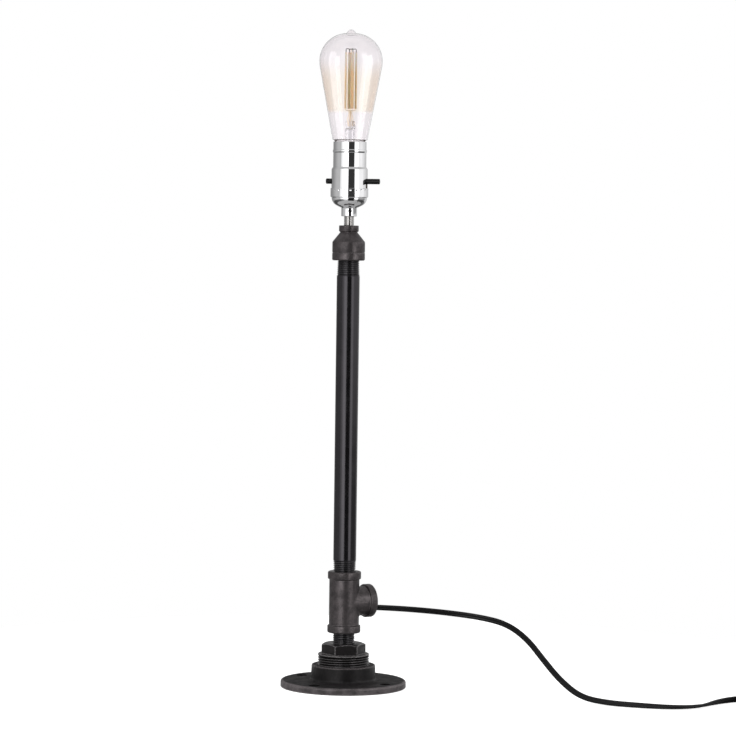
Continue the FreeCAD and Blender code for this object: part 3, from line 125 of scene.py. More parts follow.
def outline(corners: Sequence[Corner], step: float = 6.0, run: float = 0.0) -> list[Corner]:
    """Sample a turned piece's outline.

    Args:
        corners: (radius, height), or (radius, height, arc radius, side) where
            an arc leads to the next corner.
        step: Largest angle between points of an arc.
        run: Longest straight run, or 0 for any length.

    Returns:
        The outline's points.
    """
    points = [Vector(corners[0][:2])]
    for corner, following in zip(corners, corners[1:]):
        start, end = Vector(corner[:2]), Vector(following[:2])
        if len(corner) > 2:
            points += arc_points(start, end, corner[2], corner[3], step)
            continue
        parts = max(1, math.ceil((end - start).length / run)) if run else 1
        points += [start.lerp(end, k / parts) for k in range(1, parts + 1)]
    return [(point.x, point.y) for point in points]


def flat_way(degrees: float) -> Point:
    """The level direction at an angle from the X axis."""
    turn = math.radians(degrees)
    return math.cos(turn), math.sin(turn), 0.0


def eased(value: float, start: float, width: float) -> float:
    """A smooth rise from 0 at a start to 1 a width further on."""
    share = min(max((value - start) / width, 0.0), 1.0)
    return share * share * (3 - 2 * share)


def unit(rows: np.ndarray) -> np.ndarray:
    """Rows brought to length 1."""
    return rows / np.linalg.norm(rows, axis=1)[:, None]


def runs_along(path: np.ndarray) -> np.ndarray:
    """The length of a line up to each of its points."""
    return np.concatenate(([0.0], np.cumsum(np.linalg.norm(np.diff(path, axis=0), axis=1))))


def linked(name: str, data: bpy.types.ID) -> Piece:
    """A new object in the scene.

    Args:
        name: Its name.
        data: Its mesh, camera or lamp.

    Returns:
        The object.
    """
    thing = bpy.data.objects.new(name, data)
    bpy.context.scene.collection.objects.link(thing)
    return thing


def new_piece(name: str, verts: np.ndarray, faces: list[tuple[int, ...]]) -> Piece:
    """A mesh object in the scene, from points in millimetres.

    Args:
        name: The piece's name.
        verts: Its points.
        faces: The point numbers of each face.

    Returns:
        The piece.
    """
    mesh = bpy.data.meshes.new(name)
    mesh.from_pydata((np.asarray(verts) * MM).tolist(), [], faces)
    mesh.update()
    return linked(name, mesh)


def smooth(piece: Piece, angle: float = 35.0) -> Piece:
    """Smooth shading, with edges sharper than an angle kept sharp.

    Args:
        piece: The piece.
        angle: The angle.

    Returns:
        The piece.
    """
    piece.data.shade_smooth()
    piece.data.set_sharp_from_angle(angle=math.radians(angle))
    return piece


def grid_faces(rows: Sequence[Sequence[int]], closed: bool) -> list[tuple[int, ...]]:
    """Faces between rings of vertex numbers; a ring of one number is a pole.

    Args:
        rows: The rings, in order.
        closed: True if the last ring joins the first.

    Returns:
        The faces.
    """
    faces: list[tuple[int, ...]] = []
    pairs = list(zip(rows, rows[1:])) + ([(rows[-1], rows[0])] if closed else [])
    for low, high in pairs:
        count = max(len(low), len(high))
        for k in range(count):
            following = (k + 1) % count
            if len(low) == 1 and len(high) == 1:
                continue
            if len(low) == 1:
                faces.append((low[0], high[following], high[k]))
            elif len(high) == 1:
                faces.append((low[k], low[following], high[0]))
            else:
                faces.append((low[k], low[following], high[following], high[k]))
    return faces


def turned(name: str, points: Sequence[Corner], segments: int = 128, closed: bool = True,
           shift: Optional[Callable[[np.ndarray, np.ndarray, np.ndarray], np.ndarray]] = None
           ) -> Piece:
    """A piece turned round the lamp's axis.

    Args:
        name: The piece's name.
        points: (radius, height) points; the outside goes up.
        segments: Points round the axis.
        closed: True if the last point joins the first.
        shift: Gives the radii from arrays of angles, radii and heights.

    Returns:
        The piece.
    """
    angles = np.arange(segments) * 2 * math.pi / segments
    verts: list[np.ndarray] = []
    rows: list[list[int]] = []
    for radius, height in points:
        start = len(verts)
        if radius < 1e-6:
            verts.append(np.array((0.0, 0.0, height)))
            rows.append([start])
            continue
        radii = np.full(segments, radius)
        if shift is not None:
            radii = shift(angles, radii, np.full(segments, height))
        verts += list(np.stack((radii * np.cos(angles), radii * np.sin(angles),
                                np.full(segments, height)), axis=1))
        rows.append(list(range(start, start + segments)))
    return smooth(new_piece(name, np.array(verts), grid_faces(rows, closed)))


def settled(piece: Piece) -> Piece:
    """Replace a piece's mesh by what its modifiers make of it, and drop them.

    Args:
        piece: The piece.

    Returns:
        The piece.
    """
    bpy.context.view_layer.update()
    graph = bpy.context.evaluated_depsgraph_get()
    old = piece.data
    mesh = bpy.data.meshes.new_from_object(piece.evaluated_get(graph), depsgraph=graph,
                                           preserve_all_data_layers=True)
    mesh.name = piece.name
    piece.modifiers.clear()
    piece.data = mesh
    bpy.data.meshes.remove(old)
    return piece


def refined(node: str, name: str, edge: float = 0.0, angle: float = 30.0) -> Piece:
    """A merged, smooth copy of a CAD node with its hard edges eased.

    Args:
        node: The CAD node.
        name: The new piece's name.
        edge: Width of the bevel on hard edges, or 0 for none.
        angle: Edges sharper than this are bevelled and shaded sharp.

    Returns:
        The piece.
    """
    work = bmesh.new()
    work.from_mesh(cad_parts[node].data)
    bmesh.ops.remove_doubles(work, verts=work.verts, dist=2e-6)
    bmesh.ops.dissolve_limit(work, angle_limit=math.radians(0.3), verts=work.verts,
                             edges=work.edges)
    mesh = bpy.data.meshes.new(name)
    work.to_mesh(mesh)
    work.free()
    piece = smooth(linked(name, mesh), angle)
    if edge:
        bevel = piece.modifiers.new("edge", "BEVEL")
        bevel.width = edge * MM
        bevel.segments = 2
        bevel.limit_method = "ANGLE"
        bevel.angle_limit = math.radians(angle)
        bevel.use_clamp_overlap = True
        bevel.harden_normals = True
        settled(piece)
    return piece


def place(piece: Piece, body: Body, slot: str, *nodes: str) -> Piece:
    """Let a piece ride on its body and hide the nodes it stands for.

    Args:
        piece: The piece.
        body: Its body.
        slot: Its material slot; not used.
        *nodes: The CAD nodes it stands for.

    Returns:
        The piece.
    """
    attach(piece, body.value)
    if nodes:
        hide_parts(*nodes)
    LOG.info("%s: %d faces on %s", piece.name, len(piece.data.polygons), body.value)
    return piece


# ------------------------------------------------------------- node building


@dataclass(frozen=True)
class Result:
    """What a node gives. Arithmetic on it adds Math nodes."""

    graph: "Graph"
    pin: bpy.types.NodeSocket

    def __add__(self, other: Value) -> "Result":
        """The sum."""
        return self.graph.math("ADD", self, other)

    def __radd__(self, other: Value) -> "Result":
        """The sum, with this second."""
        return self.graph.math("ADD", other, self)

    def __sub__(self, other: Value) -> "Result":
        """The difference."""
        return self.graph.math("SUBTRACT", self, other)

    def __rsub__(self, other: Value) -> "Result":
        """The difference, with this second."""
        return self.graph.math("SUBTRACT", other, self)

    def __mul__(self, other: Value) -> "Result":
        """The product."""
        return self.graph.math("MULTIPLY", self, other)

    def __truediv__(self, other: Value) -> "Result":
        """The quotient."""
        return self.graph.math("DIVIDE", self, other)


@dataclass(frozen=True)
class Step:
    """A node, whose results are read by an output's name or number."""

    graph: "Graph"
    node: bpy.types.Node

    def __getitem__(self, key: Union[str, int]) -> Result:
        """One of its results."""
        return Result(self.graph, self.node.outputs[key])


class Graph:
    """Adds and links the nodes of one node tree."""

    def __init__(self, tree: bpy.types.NodeTree) -> None:
        """Start on an empty or new tree."""
        self.tree = tree

    def feed(self, node: bpy.types.Node, key: Union[str, int], value: Value) -> None:
        """Link an input of a node to a result, or set its value.

        Args:
            node: The node.
            key: The input's name or number.
            value: The result or the value; None leaves the input alone.
        """
        if isinstance(value, Result):
            value = value.pin
        if isinstance(value, bpy.types.NodeSocket):
            self.tree.links.new(value, node.inputs[key])
        elif value is not None:
            node.inputs[key].default_value = value

    def add(self, kind: str, inputs: Optional[dict[Union[str, int], Value]] = None,
            **settings: object) -> Step:
        """Add a node.

        Args:
            kind: The node's type name.
            inputs: Values or results by input name or number.
            **settings: The node's own properties.

        Returns:
            The node.
        """
        node = self.tree.nodes.new(kind)
        for key, value in settings.items():
            setattr(node, key, value)
        for key, value in (inputs or {}).items():
            self.feed(node, key, value)
        return Step(self, node)

    def parts(self, vector: Value) -> Step:
        """The X, Y and Z of a vector."""
        return self.add("ShaderNodeSeparateXYZ", {0: vector})

    def given(self) -> Results:
        """The tree's own inputs by name."""
        entry = self.tree.nodes.new("NodeGroupInput")
        return {pin.name: Result(self, pin) for pin in entry.outputs if pin.name}

    def math(self, operation: str, first: Value, second: Value = None,
             third: Value = None, clamp: bool = False) -> Result:
        """The result of a Math node.

        Args:
            operation: What the node does.
            first: Its first number.
            second: Its second number, if it takes one.
            third: Its third number, if it takes one.
            clamp: True to keep the result from 0 to 1.

        Returns:
            The result.
        """
        return self.add("ShaderNodeMath", {0: first, 1: second, 2: third},
                        operation=operation, use_clamp=clamp)[0]

    def ramp(self, value: Value, low: Value, high: Value, start: Value = 0.0,
             end: Value = 1.0, kind: str = "SMOOTHSTEP") -> Result:
        """A value mapped from low..high to start..end, smoothly and clamped.

        Args:
            value: The value.
            low: Where the result is start.
            high: Where it is end.
            start: Result at low.
            end: Result at high.
            kind: The curve between them.

        Returns:
            The result.
        """
        return self.add("ShaderNodeMapRange", {0: value, 1: low, 2: high, 3: start, 4: end},
                        interpolation_type=kind)[0]

    def blend(self, factor: Value, first: Value, second: Value) -> Result:
        """A mix of two colours, where 1 is the second."""
        return self.add("ShaderNodeMix", {0: factor, 6: opaque(first), 7: opaque(second)},
                        data_type="RGBA")[2]

    def noise(self, vector: Value, scale: Value, detail: float = 4.0,
              rough: float = 0.55) -> Result:
        """Noise from 0 to 1 at a scale in features per metre."""
        return self.add("ShaderNodeTexNoise", {"Vector": vector, "Scale": scale,
                                               "Detail": detail, "Roughness": rough})["Fac"]


def opaque(colour: Value) -> Value:
    """A colour with full alpha; other values as they are."""
    return (*colour, 1.0) if isinstance(colour, tuple) and len(colour) == 3 else colour


def shader_group(name: str, inputs: dict[str, float], outputs: Sequence[str],
                 build: Callable[[Graph, Results], Results]) -> bpy.types.ShaderNodeTree:
    """A shader node group, built once.

    Args:
        name: The group's name.
        inputs: Number inputs and their values; a Vector input is added.
        outputs: Names of the outputs, all numbers.
        build: Makes the nodes and returns what each output gives.

    Returns:
        The group's tree.
    """
    if name in bpy.data.node_groups:
        return bpy.data.node_groups[name]
    tree = bpy.data.node_groups.new(name, "ShaderNodeTree")
    tree.interface.new_socket("Vector", in_out="INPUT", socket_type="NodeSocketVector")
    for key, value in inputs.items():
        socket = tree.interface.new_socket(key, in_out="INPUT", socket_type="NodeSocketFloat")
        socket.default_value = value
    for key in outputs:
        tree.interface.new_socket(key, in_out="OUTPUT", socket_type="NodeSocketFloat")
    graph = Graph(tree)
    graph.add("NodeGroupOutput", build(graph, graph.given()))
    return tree


def cast_grain(graph: Graph, given: Results) -> Results:
    """Sand-cast skin: fine grain, shallow pits and broad mottling.

    Args:
        graph: The group's graph.
        given: Its inputs by name.

    Returns:
        Its outputs by name.
    """
    fine = graph.noise(given["Vector"], given["Scale"], 5.0, 0.65)
    broad = graph.noise(given["Vector"], given["Scale"] * 0.16, 3.0)
    cells = graph.add("ShaderNodeTexVoronoi", {"Vector": given["Vector"],
                                               "Scale": given["Scale"] * 0.42})
    pits = graph.ramp(cells["Distance"], 0.02, 0.28)
    lumps = broad * 0.9 + fine * 0.5
    height = lumps + pits * given["Pits"]
    mottle = graph.ramp(fine * 0.45 + broad * 0.55, 0.36, 0.64)
    return {"Height": height, "Mottle": mottle, "Pit": 1.0 - pits}


def edge_wear(graph: Graph, given: Results) -> Results:
    """Mask of outer edges, broken up by noise.

    Args:
        graph: The group's graph.
        given: Its inputs by name.

    Returns:
        Its outputs by name.
    """
    rounded = graph.add("ShaderNodeBevel", {"Radius": given["Width"]}, samples=6)
    shape = graph.add("ShaderNodeNewGeometry")
    dot = graph.add("ShaderNodeVectorMath", {0: rounded[0], 1: shape["Normal"]},
                    operation="DOT_PRODUCT")
    bend = 1.0 - dot["Value"]
    rough = graph.noise(given["Vector"], given["Scale"], 4.0, 0.6)
    edge = graph.ramp(bend, 0.003, 0.05)
    broken = edge * graph.ramp(rough, 0.25, 0.6, 0.5, 1.0)
    return {"Mask": graph.math("MULTIPLY", broken, given["Amount"], clamp=True)}


def fine_scratches(graph: Graph, given: Results) -> Results:
    """Long fine marks along the height, with a few scuffs across.

    Args:
        graph: The group's graph.
        given: Its inputs by name.

    Returns:
        Its outputs by name.
    """
    drawn = graph.add("ShaderNodeMapping", {"Vector": given["Vector"], "Scale": (1.0, 1.0, 0.035)})
    lines = graph.noise(drawn[0], given["Scale"], 6.0, 0.7)
    tilted = graph.add("ShaderNodeMapping", {
        "Vector": given["Vector"], "Rotation": (0.5, 0.9, 0.3), "Scale": (0.06, 1.0, 1.0)})
    scuffs = graph.noise(tilted[0], given["Scale"] * 0.5, 5.0, 0.7)
    marks = graph.math("MAXIMUM", graph.ramp(lines, 0.62, 0.74), graph.ramp(scuffs, 0.68, 0.76))
    return {"Marks": graph.math("MULTIPLY", marks, given["Amount"], clamp=True),
            "Height": lines * 0.6 + scuffs * 0.4}


def settled_dust(graph: Graph, given: Results) -> Results:
    """Mask of dust on what faces up, and the mask of all that does.

    Args:
        graph: The group's graph.
        given: Its inputs by name.

    Returns:
        Its outputs by name.
    """
    shape = graph.add("ShaderNodeNewGeometry")
    split = graph.parts(shape["Normal"])
    cloud = graph.noise(given["Vector"], given["Scale"], 6.0, 0.7)
    upward = graph.ramp(split["Z"], 0.25, 1.0)
    speck = graph.ramp(cloud, 0.42, 0.72)
    return {"Mask": graph.math("MULTIPLY", upward * speck, given["Amount"], clamp=True),
            "Upward": upward}


def moulded_skin(graph: Graph, given: Results) -> Results:
    """Faint orange peel and handling marks of a moulded or plated skin.

    Args:
        graph: The group's graph.
        given: Its inputs by name.

    Returns:
        Its outputs by name.
    """
    peel = graph.noise(given["Vector"], given["Scale"], 3.0, 0.5)
    hands = graph.noise(given["Vector"], given["Scale"] * 0.07, 4.0, 0.6)
    return {"Height": peel, "Smudge": graph.ramp(hands, 0.4, 0.7)}


GRAIN = ("Cast grain", {"Scale": 900.0, "Pits": 0.3}, ("Height", "Mottle", "Pit"), cast_grain)
WEAR = ("Edge wear", {"Width": 0.0008, "Scale": 700.0, "Amount": 1.0}, ("Mask",), edge_wear)
MARKS = ("Fine scratches", {"Scale": 900.0, "Amount": 1.0}, ("Marks", "Height"), fine_scratches)
DUST = ("Settled dust", {"Scale": 500.0, "Amount": 0.3}, ("Mask", "Upward"), settled_dust)
SKIN = ("Moulded skin", {"Scale": 1500.0}, ("Height", "Smudge"), moulded_skin)


# ------------------------------------------------------------------ finishes


class Material(Graph):
    """A material: one Principled shader and the effects that feed it."""

    def __init__(self, name: str, plain: dict[str, Value]) -> None:
        """Start a material whose shader has these plain values.

        Args:
            name: The material's name.
            plain: Values by the shader's input names.
        """
        self.material = bpy.data.materials.new(name)
        self.material.use_nodes = True
        super().__init__(self.material.node_tree)
        self.tree.nodes.clear()
        self.shader = self.add("ShaderNodeBsdfPrincipled", {
            key: opaque(value) for key, value in plain.items()})
        self.leave = self.add("ShaderNodeOutputMaterial", {"Surface": self.shader[0]})
        self.place = self.add("ShaderNodeTexCoord")["Object"]

    def effect(self, kind: tuple, **values: Value) -> Step:
        """Place an effect group, made as shader_group says, with these inputs."""
        return self.add("ShaderNodeGroup", {"Vector": self.place, **values},
                        node_tree=shader_group(*kind))

    def finished(self, inputs: dict[str, Value], height: Value,
                 depth: float) -> bpy.types.Material:
        """Feed the shader, raise its surface and hand the material over.

        Args:
            inputs: Values or results by the shader's input names.
            height: Height of the skin, 0 to 1.
            depth: What that height stands for, in millimetres.

        Returns:
            The material.
        """
        for key, value in inputs.items():
            self.feed(self.shader.node, key, value)
        raised = self.add("ShaderNodeBump", {"Height": height, "Distance": depth * MM})
        self.feed(self.shader.node, "Normal", raised[0])
        return self.material

    def attribute(self, name: str) -> Result:
        """A number that the mesh carries."""
        return self.add("ShaderNodeAttribute", attribute_name=name)["Fac"]


@dataclass(frozen=True)
class CastIron:
    """Cast or malleable iron with grain, worn edges and worn thread crests."""

    name: str
    dark: Colour
    light: Colour
    bare: Colour = (0.34, 0.32, 0.30)
    metal: float = 0.55
    rough: float = 0.46
    grain: float = 900.0
    depth: float = 0.10
    pits: float = 0.3
    worn: float = 0.6
    edge: float = 0.7
    dust: float = 0.10
    crest: float = 0.5
    shine: float = 0.5
    matt: float = 0.0
    dusty: Colour = (0.30, 0.28, 0.28)

    def make(self) -> bpy.types.Material:
        """Build the material.

        Returns:
            The material.
        """
        work = Material(self.name, {"Metallic": self.metal, "Roughness": self.rough,
                                    "Specular IOR Level": self.shine})
        grain = work.effect(GRAIN, Scale=self.grain, Pits=self.pits)
        edge = self.handled(work, work.effect(WEAR, Width=self.edge * MM, Amount=self.worn)["Mask"])
        dust = work.effect(DUST, Amount=self.dust)
        crest = work.attribute("crest")
        broken = work.ramp(work.noise(work.place, 260.0, 4.0), 0.3, 0.6, 0.65, 1.0)
        crest = work.ramp(crest, 0.8, 1.0, 0.0, self.crest)
        bare = work.math("MAXIMUM", edge, crest * broken)
        skin = work.blend(grain["Mottle"], self.dark, self.light)
        skin = work.blend(grain["Pit"] * 0.5, skin, self.dark)
        skin = work.blend(bare, skin, self.bare)
        rough = work.ramp(grain["Mottle"], 0.0, 1.0, self.rough + 0.08, self.rough - 0.06)
        rough = rough - bare * 0.14
        rough = dust["Upward"] * self.matt + rough
        return work.finished({"Base Color": work.blend(dust["Mask"], skin, self.dusty),
                              "Roughness": dust["Mask"] * 0.3 + rough,
                              "Metallic": bare * (0.9 - self.metal) + self.metal},
                             grain["Height"], self.depth)

    def handled(self, work: Material, edge: Result) -> Result:
        """Where hands and tools have rubbed the skin: its edges."""
        return edge


@dataclass(frozen=True)
class FlangeIron(CastIron):
    """Cast iron plate and hub: worn round the rim and on the hub's top edge, with a painted
    highlight on the rim.
    """

    rim: float = 57.0
    hub: float = LEVELS.hub_top
    # How much bare colour lies on the rim's side: a painted highlight.
    rubbed: float = 0.34

    def handled(self, work: Material, edge: Result) -> Result:
        """Rim and hub edges, and the rim's whole side, but not the screw holes' edges; the edges
        are wear and painted highlight, the side is painted highlight.

        Args:
            work: The material.
            edge: Mask of all worn edges.

        Returns:
            Mask of worn edges and painted highlight.
        """
        split = work.parts(work.place)
        flat = work.add("ShaderNodeCombineXYZ", {"X": split["X"], "Y": split["Y"]})
        away = work.add("ShaderNodeVectorMath", {0: flat[0]}, operation="LENGTH")
        outer = work.ramp(away["Value"], (self.rim - 1.6) * MM, (self.rim + 0.4) * MM)
        upper = work.ramp(split["Z"], (self.hub - 1.9) * MM, (self.hub - 0.4) * MM, 0.0, 0.62)
        patch = work.ramp(work.noise(work.place, 90.0, 5.0, 0.65), 0.3, 0.66, 0.35, 1.0)
        # Painted highlight: patches of bare colour on the rim's whole side stand for the light the
        # rim catches.
        side = outer * patch * self.rubbed
        kept = edge * work.math("MAXIMUM", outer, upper)
        return work.math("MAXIMUM", kept, side)


@dataclass(frozen=True)
class DrawnSteel:
    """Drawn tube or bar: dark scale with fine marks along it and worn crests."""

    name: str
    scale: Colour
    bare: Colour
    metal: float = 0.8
    rough: float = 0.30
    marks: float = 0.35
    depth: float = 0.03
    worn: float = 0.5
    mottle: float = 0.25
    crest: float = 0.5

    def make(self) -> bpy.types.Material:
        """Build the material.

        Returns:
            The material.
        """
        work = Material(self.name, {"Metallic": self.metal, "Roughness": self.rough})
        marks = work.effect(MARKS, Amount=self.marks)
        edge = work.effect(WEAR, Width=0.5 * MM, Amount=self.worn)
        crest = work.attribute("crest")
        cloud = work.noise(work.place, 60.0, 5.0, 0.6)
        fleck = work.ramp(work.noise(work.place, 300.0, 4.0), 0.35, 0.6, 0.4, 1.0)
        crest = work.ramp(crest, 0.8, 1.0, 0.0, self.crest)
        bare = work.math("MAXIMUM", edge["Mask"], crest * fleck)
        lighter = tuple(min(1.0, part * 1.5) for part in self.scale)
        skin = work.blend(work.ramp(cloud, 0.35, 0.65, 0.0, self.mottle), self.scale, lighter)
        skin = work.blend(marks["Marks"] * 0.5, skin, self.bare)
        rough = work.ramp(cloud, 0.3, 0.7, self.rough - 0.05, self.rough + 0.06)
        rough = marks["Marks"] * 0.12 + rough
        return work.finished({"Base Color": work.blend(bare, skin, self.bare),
                              "Roughness": bare * -0.06 + rough,
                              "Metallic": bare * (0.95 - self.metal) + self.metal},
                             marks["Height"], self.depth)


@dataclass(frozen=True)
class Plated:
    """Polished or plated metal with faint smudges."""

    name: str
    colour: Colour
    rough: float = 0.06
    smudge: float = 0.05
    depth: float = 0.004
    tarnish: Colour = (0.5, 0.48, 0.45)
    dull: float = 0.1
    rubbed: Colour = (0.95, 0.93, 0.9)

    def make(self) -> bpy.types.Material:
        """Build the material.

        Returns:
            The material.
        """
        work = Material(self.name, {"Metallic": 1.0, "Roughness": self.rough})
        skin = work.effect(SKIN, Scale=1100.0)
        edge = work.effect(WEAR, Width=0.3 * MM, Amount=0.4)
        tint = work.blend(skin["Smudge"] * self.dull, self.colour, self.tarnish)
        return work.finished({"Base Color": work.blend(edge["Mask"] * 0.3, tint, self.rubbed),
                              "Roughness": skin["Smudge"] * self.smudge + self.rough},
                             skin["Height"], self.depth)


@dataclass(frozen=True)
class Moulded:
    """Moulded plastic, rubber, card or lacquer."""

    name: str
    colour: Colour
    rough: float = 0.4
    depth: float = 0.02
    grain: float = 1500.0
    variation: float = 0.25
    scuff: float = 0.3
    coat: float = 0.0
    shine: float = 0.5
    dust: float = 0.05
    dusty: Colour = (0.4, 0.38, 0.35)

    def make(self) -> bpy.types.Material:
        """Build the material.

        Returns:
            The material.
        """
        work = Material(self.name, {"Roughness": self.rough, "Coat Weight": self.coat,
                                    "Coat Roughness": 0.15, "Specular IOR Level": self.shine})
        skin = work.effect(SKIN, Scale=self.grain)
        edge = work.effect(WEAR, Width=0.4 * MM, Amount=self.scuff)
        dust = work.effect(DUST, Amount=self.dust)
        lighter = tuple(min(1.0, part * 1.6 + 0.004) for part in self.colour)
        tint = work.blend(skin["Smudge"] * self.variation, self.colour, lighter)
        tint = work.blend(edge["Mask"] * 0.35, tint, lighter)
        return work.finished({"Base Color": work.blend(dust["Mask"], tint, self.dusty),
                              "Roughness": skin["Smudge"] * 0.12 + (self.rough - 0.04)},
                             skin["Height"], self.depth)


@dataclass(frozen=True)
class BlownGlass:
    """Clear glass with faint streaks and a painted amber reflection of the light strips, in a band
    round them.
    """

    name: str
    colour: Colour = (0.945, 0.920, 0.935)
    rough: float = 0.0
    depth: float = 0.02
    ior: float = 1.46
    reflection_amber: Colour = (0.945, 0.905, 0.868)
    deep: Colour = (0.895, 0.800, 0.735)
    painted_reflection: float = 1.0
    stain_foot: float = 535.5
    reflection_edge: float = 2.0
    reflection_fade: float = 562.0
    reflection_top: float = 588.0

    def make(self) -> bpy.types.Material:
        """Build the material.

        Returns:
            The material.
        """
        work = Material(self.name, {"Transmission Weight": 1.0, "IOR": self.ior,
                                    "Roughness": self.rough})
        slow = work.noise(work.place, 45.0, 2.0, 0.4)
        clear = work.blend(work.ramp(slow, 0.3, 0.7), self.colour,
                           tuple(part * 0.985 for part in self.colour))
        # Painted reflection: an amber band at the strips' height stands in for the strips mirrored
        # in the glass. It grows deeper towards the outline.
        height = work.parts(work.place)["Z"]
        low = work.ramp(height, (self.stain_foot - self.reflection_edge) * MM,
                        (self.stain_foot + self.reflection_edge) * MM)
        high = work.ramp(height, self.reflection_fade * MM, self.reflection_top * MM, 1.0, 0.0)
        reflection_mask = low * high * self.painted_reflection
        slant = work.add("ShaderNodeLayerWeight", {"Blend": 0.5})["Facing"]
        reflection_amber = work.blend(work.ramp(slant, 0.16, 0.5), self.reflection_amber, self.deep)
        return work.finished({"Base Color": work.blend(reflection_mask, clear, reflection_amber)}, slow, self.depth)


@dataclass(frozen=True)
class Phosphor:
    """Light strip: amber coat outside, paler olive where its carrier shows inside; that olive side
    is also painted shade.
    """

    name: str
    colour: Colour = (0.93, 0.69, 0.40)
    deep: Colour = (0.86, 0.58, 0.28)
    carrier_and_shade: Colour = (0.64, 0.53, 0.30)
    bared: Colour = (0.86, 0.81, 0.72)
    depth: float = 0.03
    coat_top: float = 576.0
    coat_fade: float = 9.0

    def make(self) -> bpy.types.Material:
        """Build the material.

        Returns:
            The material.
        """
        work = Material(self.name, {"Roughness": 0.3, "Subsurface Weight": 0.25,
                                    "Subsurface Scale": 0.001})
        cloud = work.noise(work.place, 700.0, 3.0)
        coat = work.blend(work.ramp(cloud, 0.35, 0.7), self.colour, self.deep)
        shape = work.add("ShaderNodeNewGeometry")
        outward = work.add("ShaderNodeVectorMath", {0: work.place, 1: shape["Normal"]},
                           operation="DOT_PRODUCT")
        rise = work.parts(shape["Normal"])
        level = work.parts(work.place)
        flat = outward["Value"] - rise["Z"] * level["Z"]
        # Painted shade: the side facing the axis takes the olive carrier colour, which also stands
        # for the strip's shaded side.
        inner = work.ramp(flat, -0.001, 0.001, 1.0, 0.0)
        side = work.blend(inner, coat, self.carrier_and_shade)
        thin = work.ramp(level["Z"], self.coat_top * MM - self.coat_fade * MM,
                         self.coat_top * MM + self.coat_fade * MM)
        tip = work.blend(thin * 0.75, side, self.bared)
        return work.finished({"Base Color": tip}, cloud, self.depth)


FINISHES = {finish.name: finish for finish in (
    # The flange's bare colour also paints the highlight on its rim.
    FlangeIron("flange_iron", (0.0038, 0.0033, 0.0035), (0.0115, 0.0098, 0.0104), grain=800.0,
               depth=0.14, rough=0.38, pits=0.35, bare=(0.44, 0.395, 0.405), edge=2.4, worn=0.9,
               metal=0.2, dust=0.06, shine=0.3, matt=0.30),
    CastIron("bushing_iron", (0.014, 0.0125, 0.013), (0.030, 0.0265, 0.0275), worn=1.0,
             bare=(0.50, 0.48, 0.485), rough=0.34, depth=0.05, edge=1.3, crest=0.4, metal=0.7),
    CastIron("thread_iron", (0.0045, 0.004, 0.0042), (0.011, 0.0098, 0.0102), worn=0.0,
             bare=(0.30, 0.285, 0.29), rough=0.28, depth=0.03, crest=0.6, metal=0.6, dust=0.0,
             shine=0.25),
    CastIron("fitting_iron", (0.056, 0.0497, 0.0512), (0.108, 0.0955, 0.098), depth=0.14,
             rough=0.36, worn=0.7, bare=(0.34, 0.31, 0.318), edge=0.9, metal=0.78),
    DrawnSteel("pipe_steel", (0.045, 0.0425, 0.0465), (0.24, 0.235, 0.24), metal=0.90, rough=0.17,
               crest=0.5, worn=0.0, depth=0.015),
    DrawnSteel("stem_steel", (0.62, 0.61, 0.60), (0.70, 0.69, 0.68), rough=0.14, metal=1.0,
               marks=0.1, depth=0.003, crest=0.2, worn=0.0),
    Plated("chrome_shell", (0.90, 0.90, 0.91), 0.05, 0.04, 0.003),
    DrawnSteel("screw_steel", (0.018, 0.018, 0.019), (0.3, 0.3, 0.3), metal=0.8),
    Moulded("card", (0.42, 0.33, 0.23), 0.8, 0.05, 900.0, 0.5),
    Moulded("phenolic", (0.045, 0.032, 0.027), 0.35, 0.02, coat=0.2),
    Plated("brass_part", (0.78, 0.58, 0.28), 0.22, 0.14, 0.01, (0.45, 0.3, 0.14), 0.5),
    Plated("spring_steel", (0.62, 0.62, 0.64), 0.2, 0.1, 0.01),
    Moulded("rod_black", (0.003, 0.003, 0.0033), 0.34, 0.008, variation=0.15, shine=0.2,
            dust=0.01),
    BlownGlass("clear_glass"),
    Plated("cap_nickel", (0.66, 0.63, 0.58), 0.18, 0.14, 0.02, (0.4, 0.37, 0.32), 0.45),
    Moulded("black_glass", (0.012, 0.012, 0.018), 0.08, 0.01, coat=0.6),
    Plated("solder", (0.62, 0.62, 0.63), 0.3, 0.2, 0.05),
    BlownGlass("mount_glass", (0.93, 0.93, 0.94), 0.02, 0.05, 1.52, painted_reflection=0.0),
    Phosphor("phosphor"),
    Plated("bulb_wire", (0.09, 0.078, 0.07), 0.4, 0.1, 0.01, (0.05, 0.045, 0.04)),
    Plated("lead_wire", (0.80, 0.64, 0.44), 0.35, 0.1, 0.01, (0.5, 0.4, 0.28)),
    Moulded("cord_black", (0.0045, 0.0045, 0.005), 0.34, 0.012, 1200.0, 0.3, shine=0.25, dust=0.02),
    Plated("copper", (0.78, 0.42, 0.25), 0.25, 0.15, 0.02, (0.4, 0.2, 0.12), 0.4),
    Moulded("tie_black", (0.02, 0.02, 0.021), 0.6, 0.05, 2500.0, 0.4),
    Moulded("plug_black", (0.010, 0.010, 0.0105), 0.42, 0.03, 1600.0, 0.3, shine=0.35),
    Plated("blade_brass", (0.72, 0.64, 0.44), 0.16, 0.12, 0.006, (0.5, 0.42, 0.26), 0.35),
)}


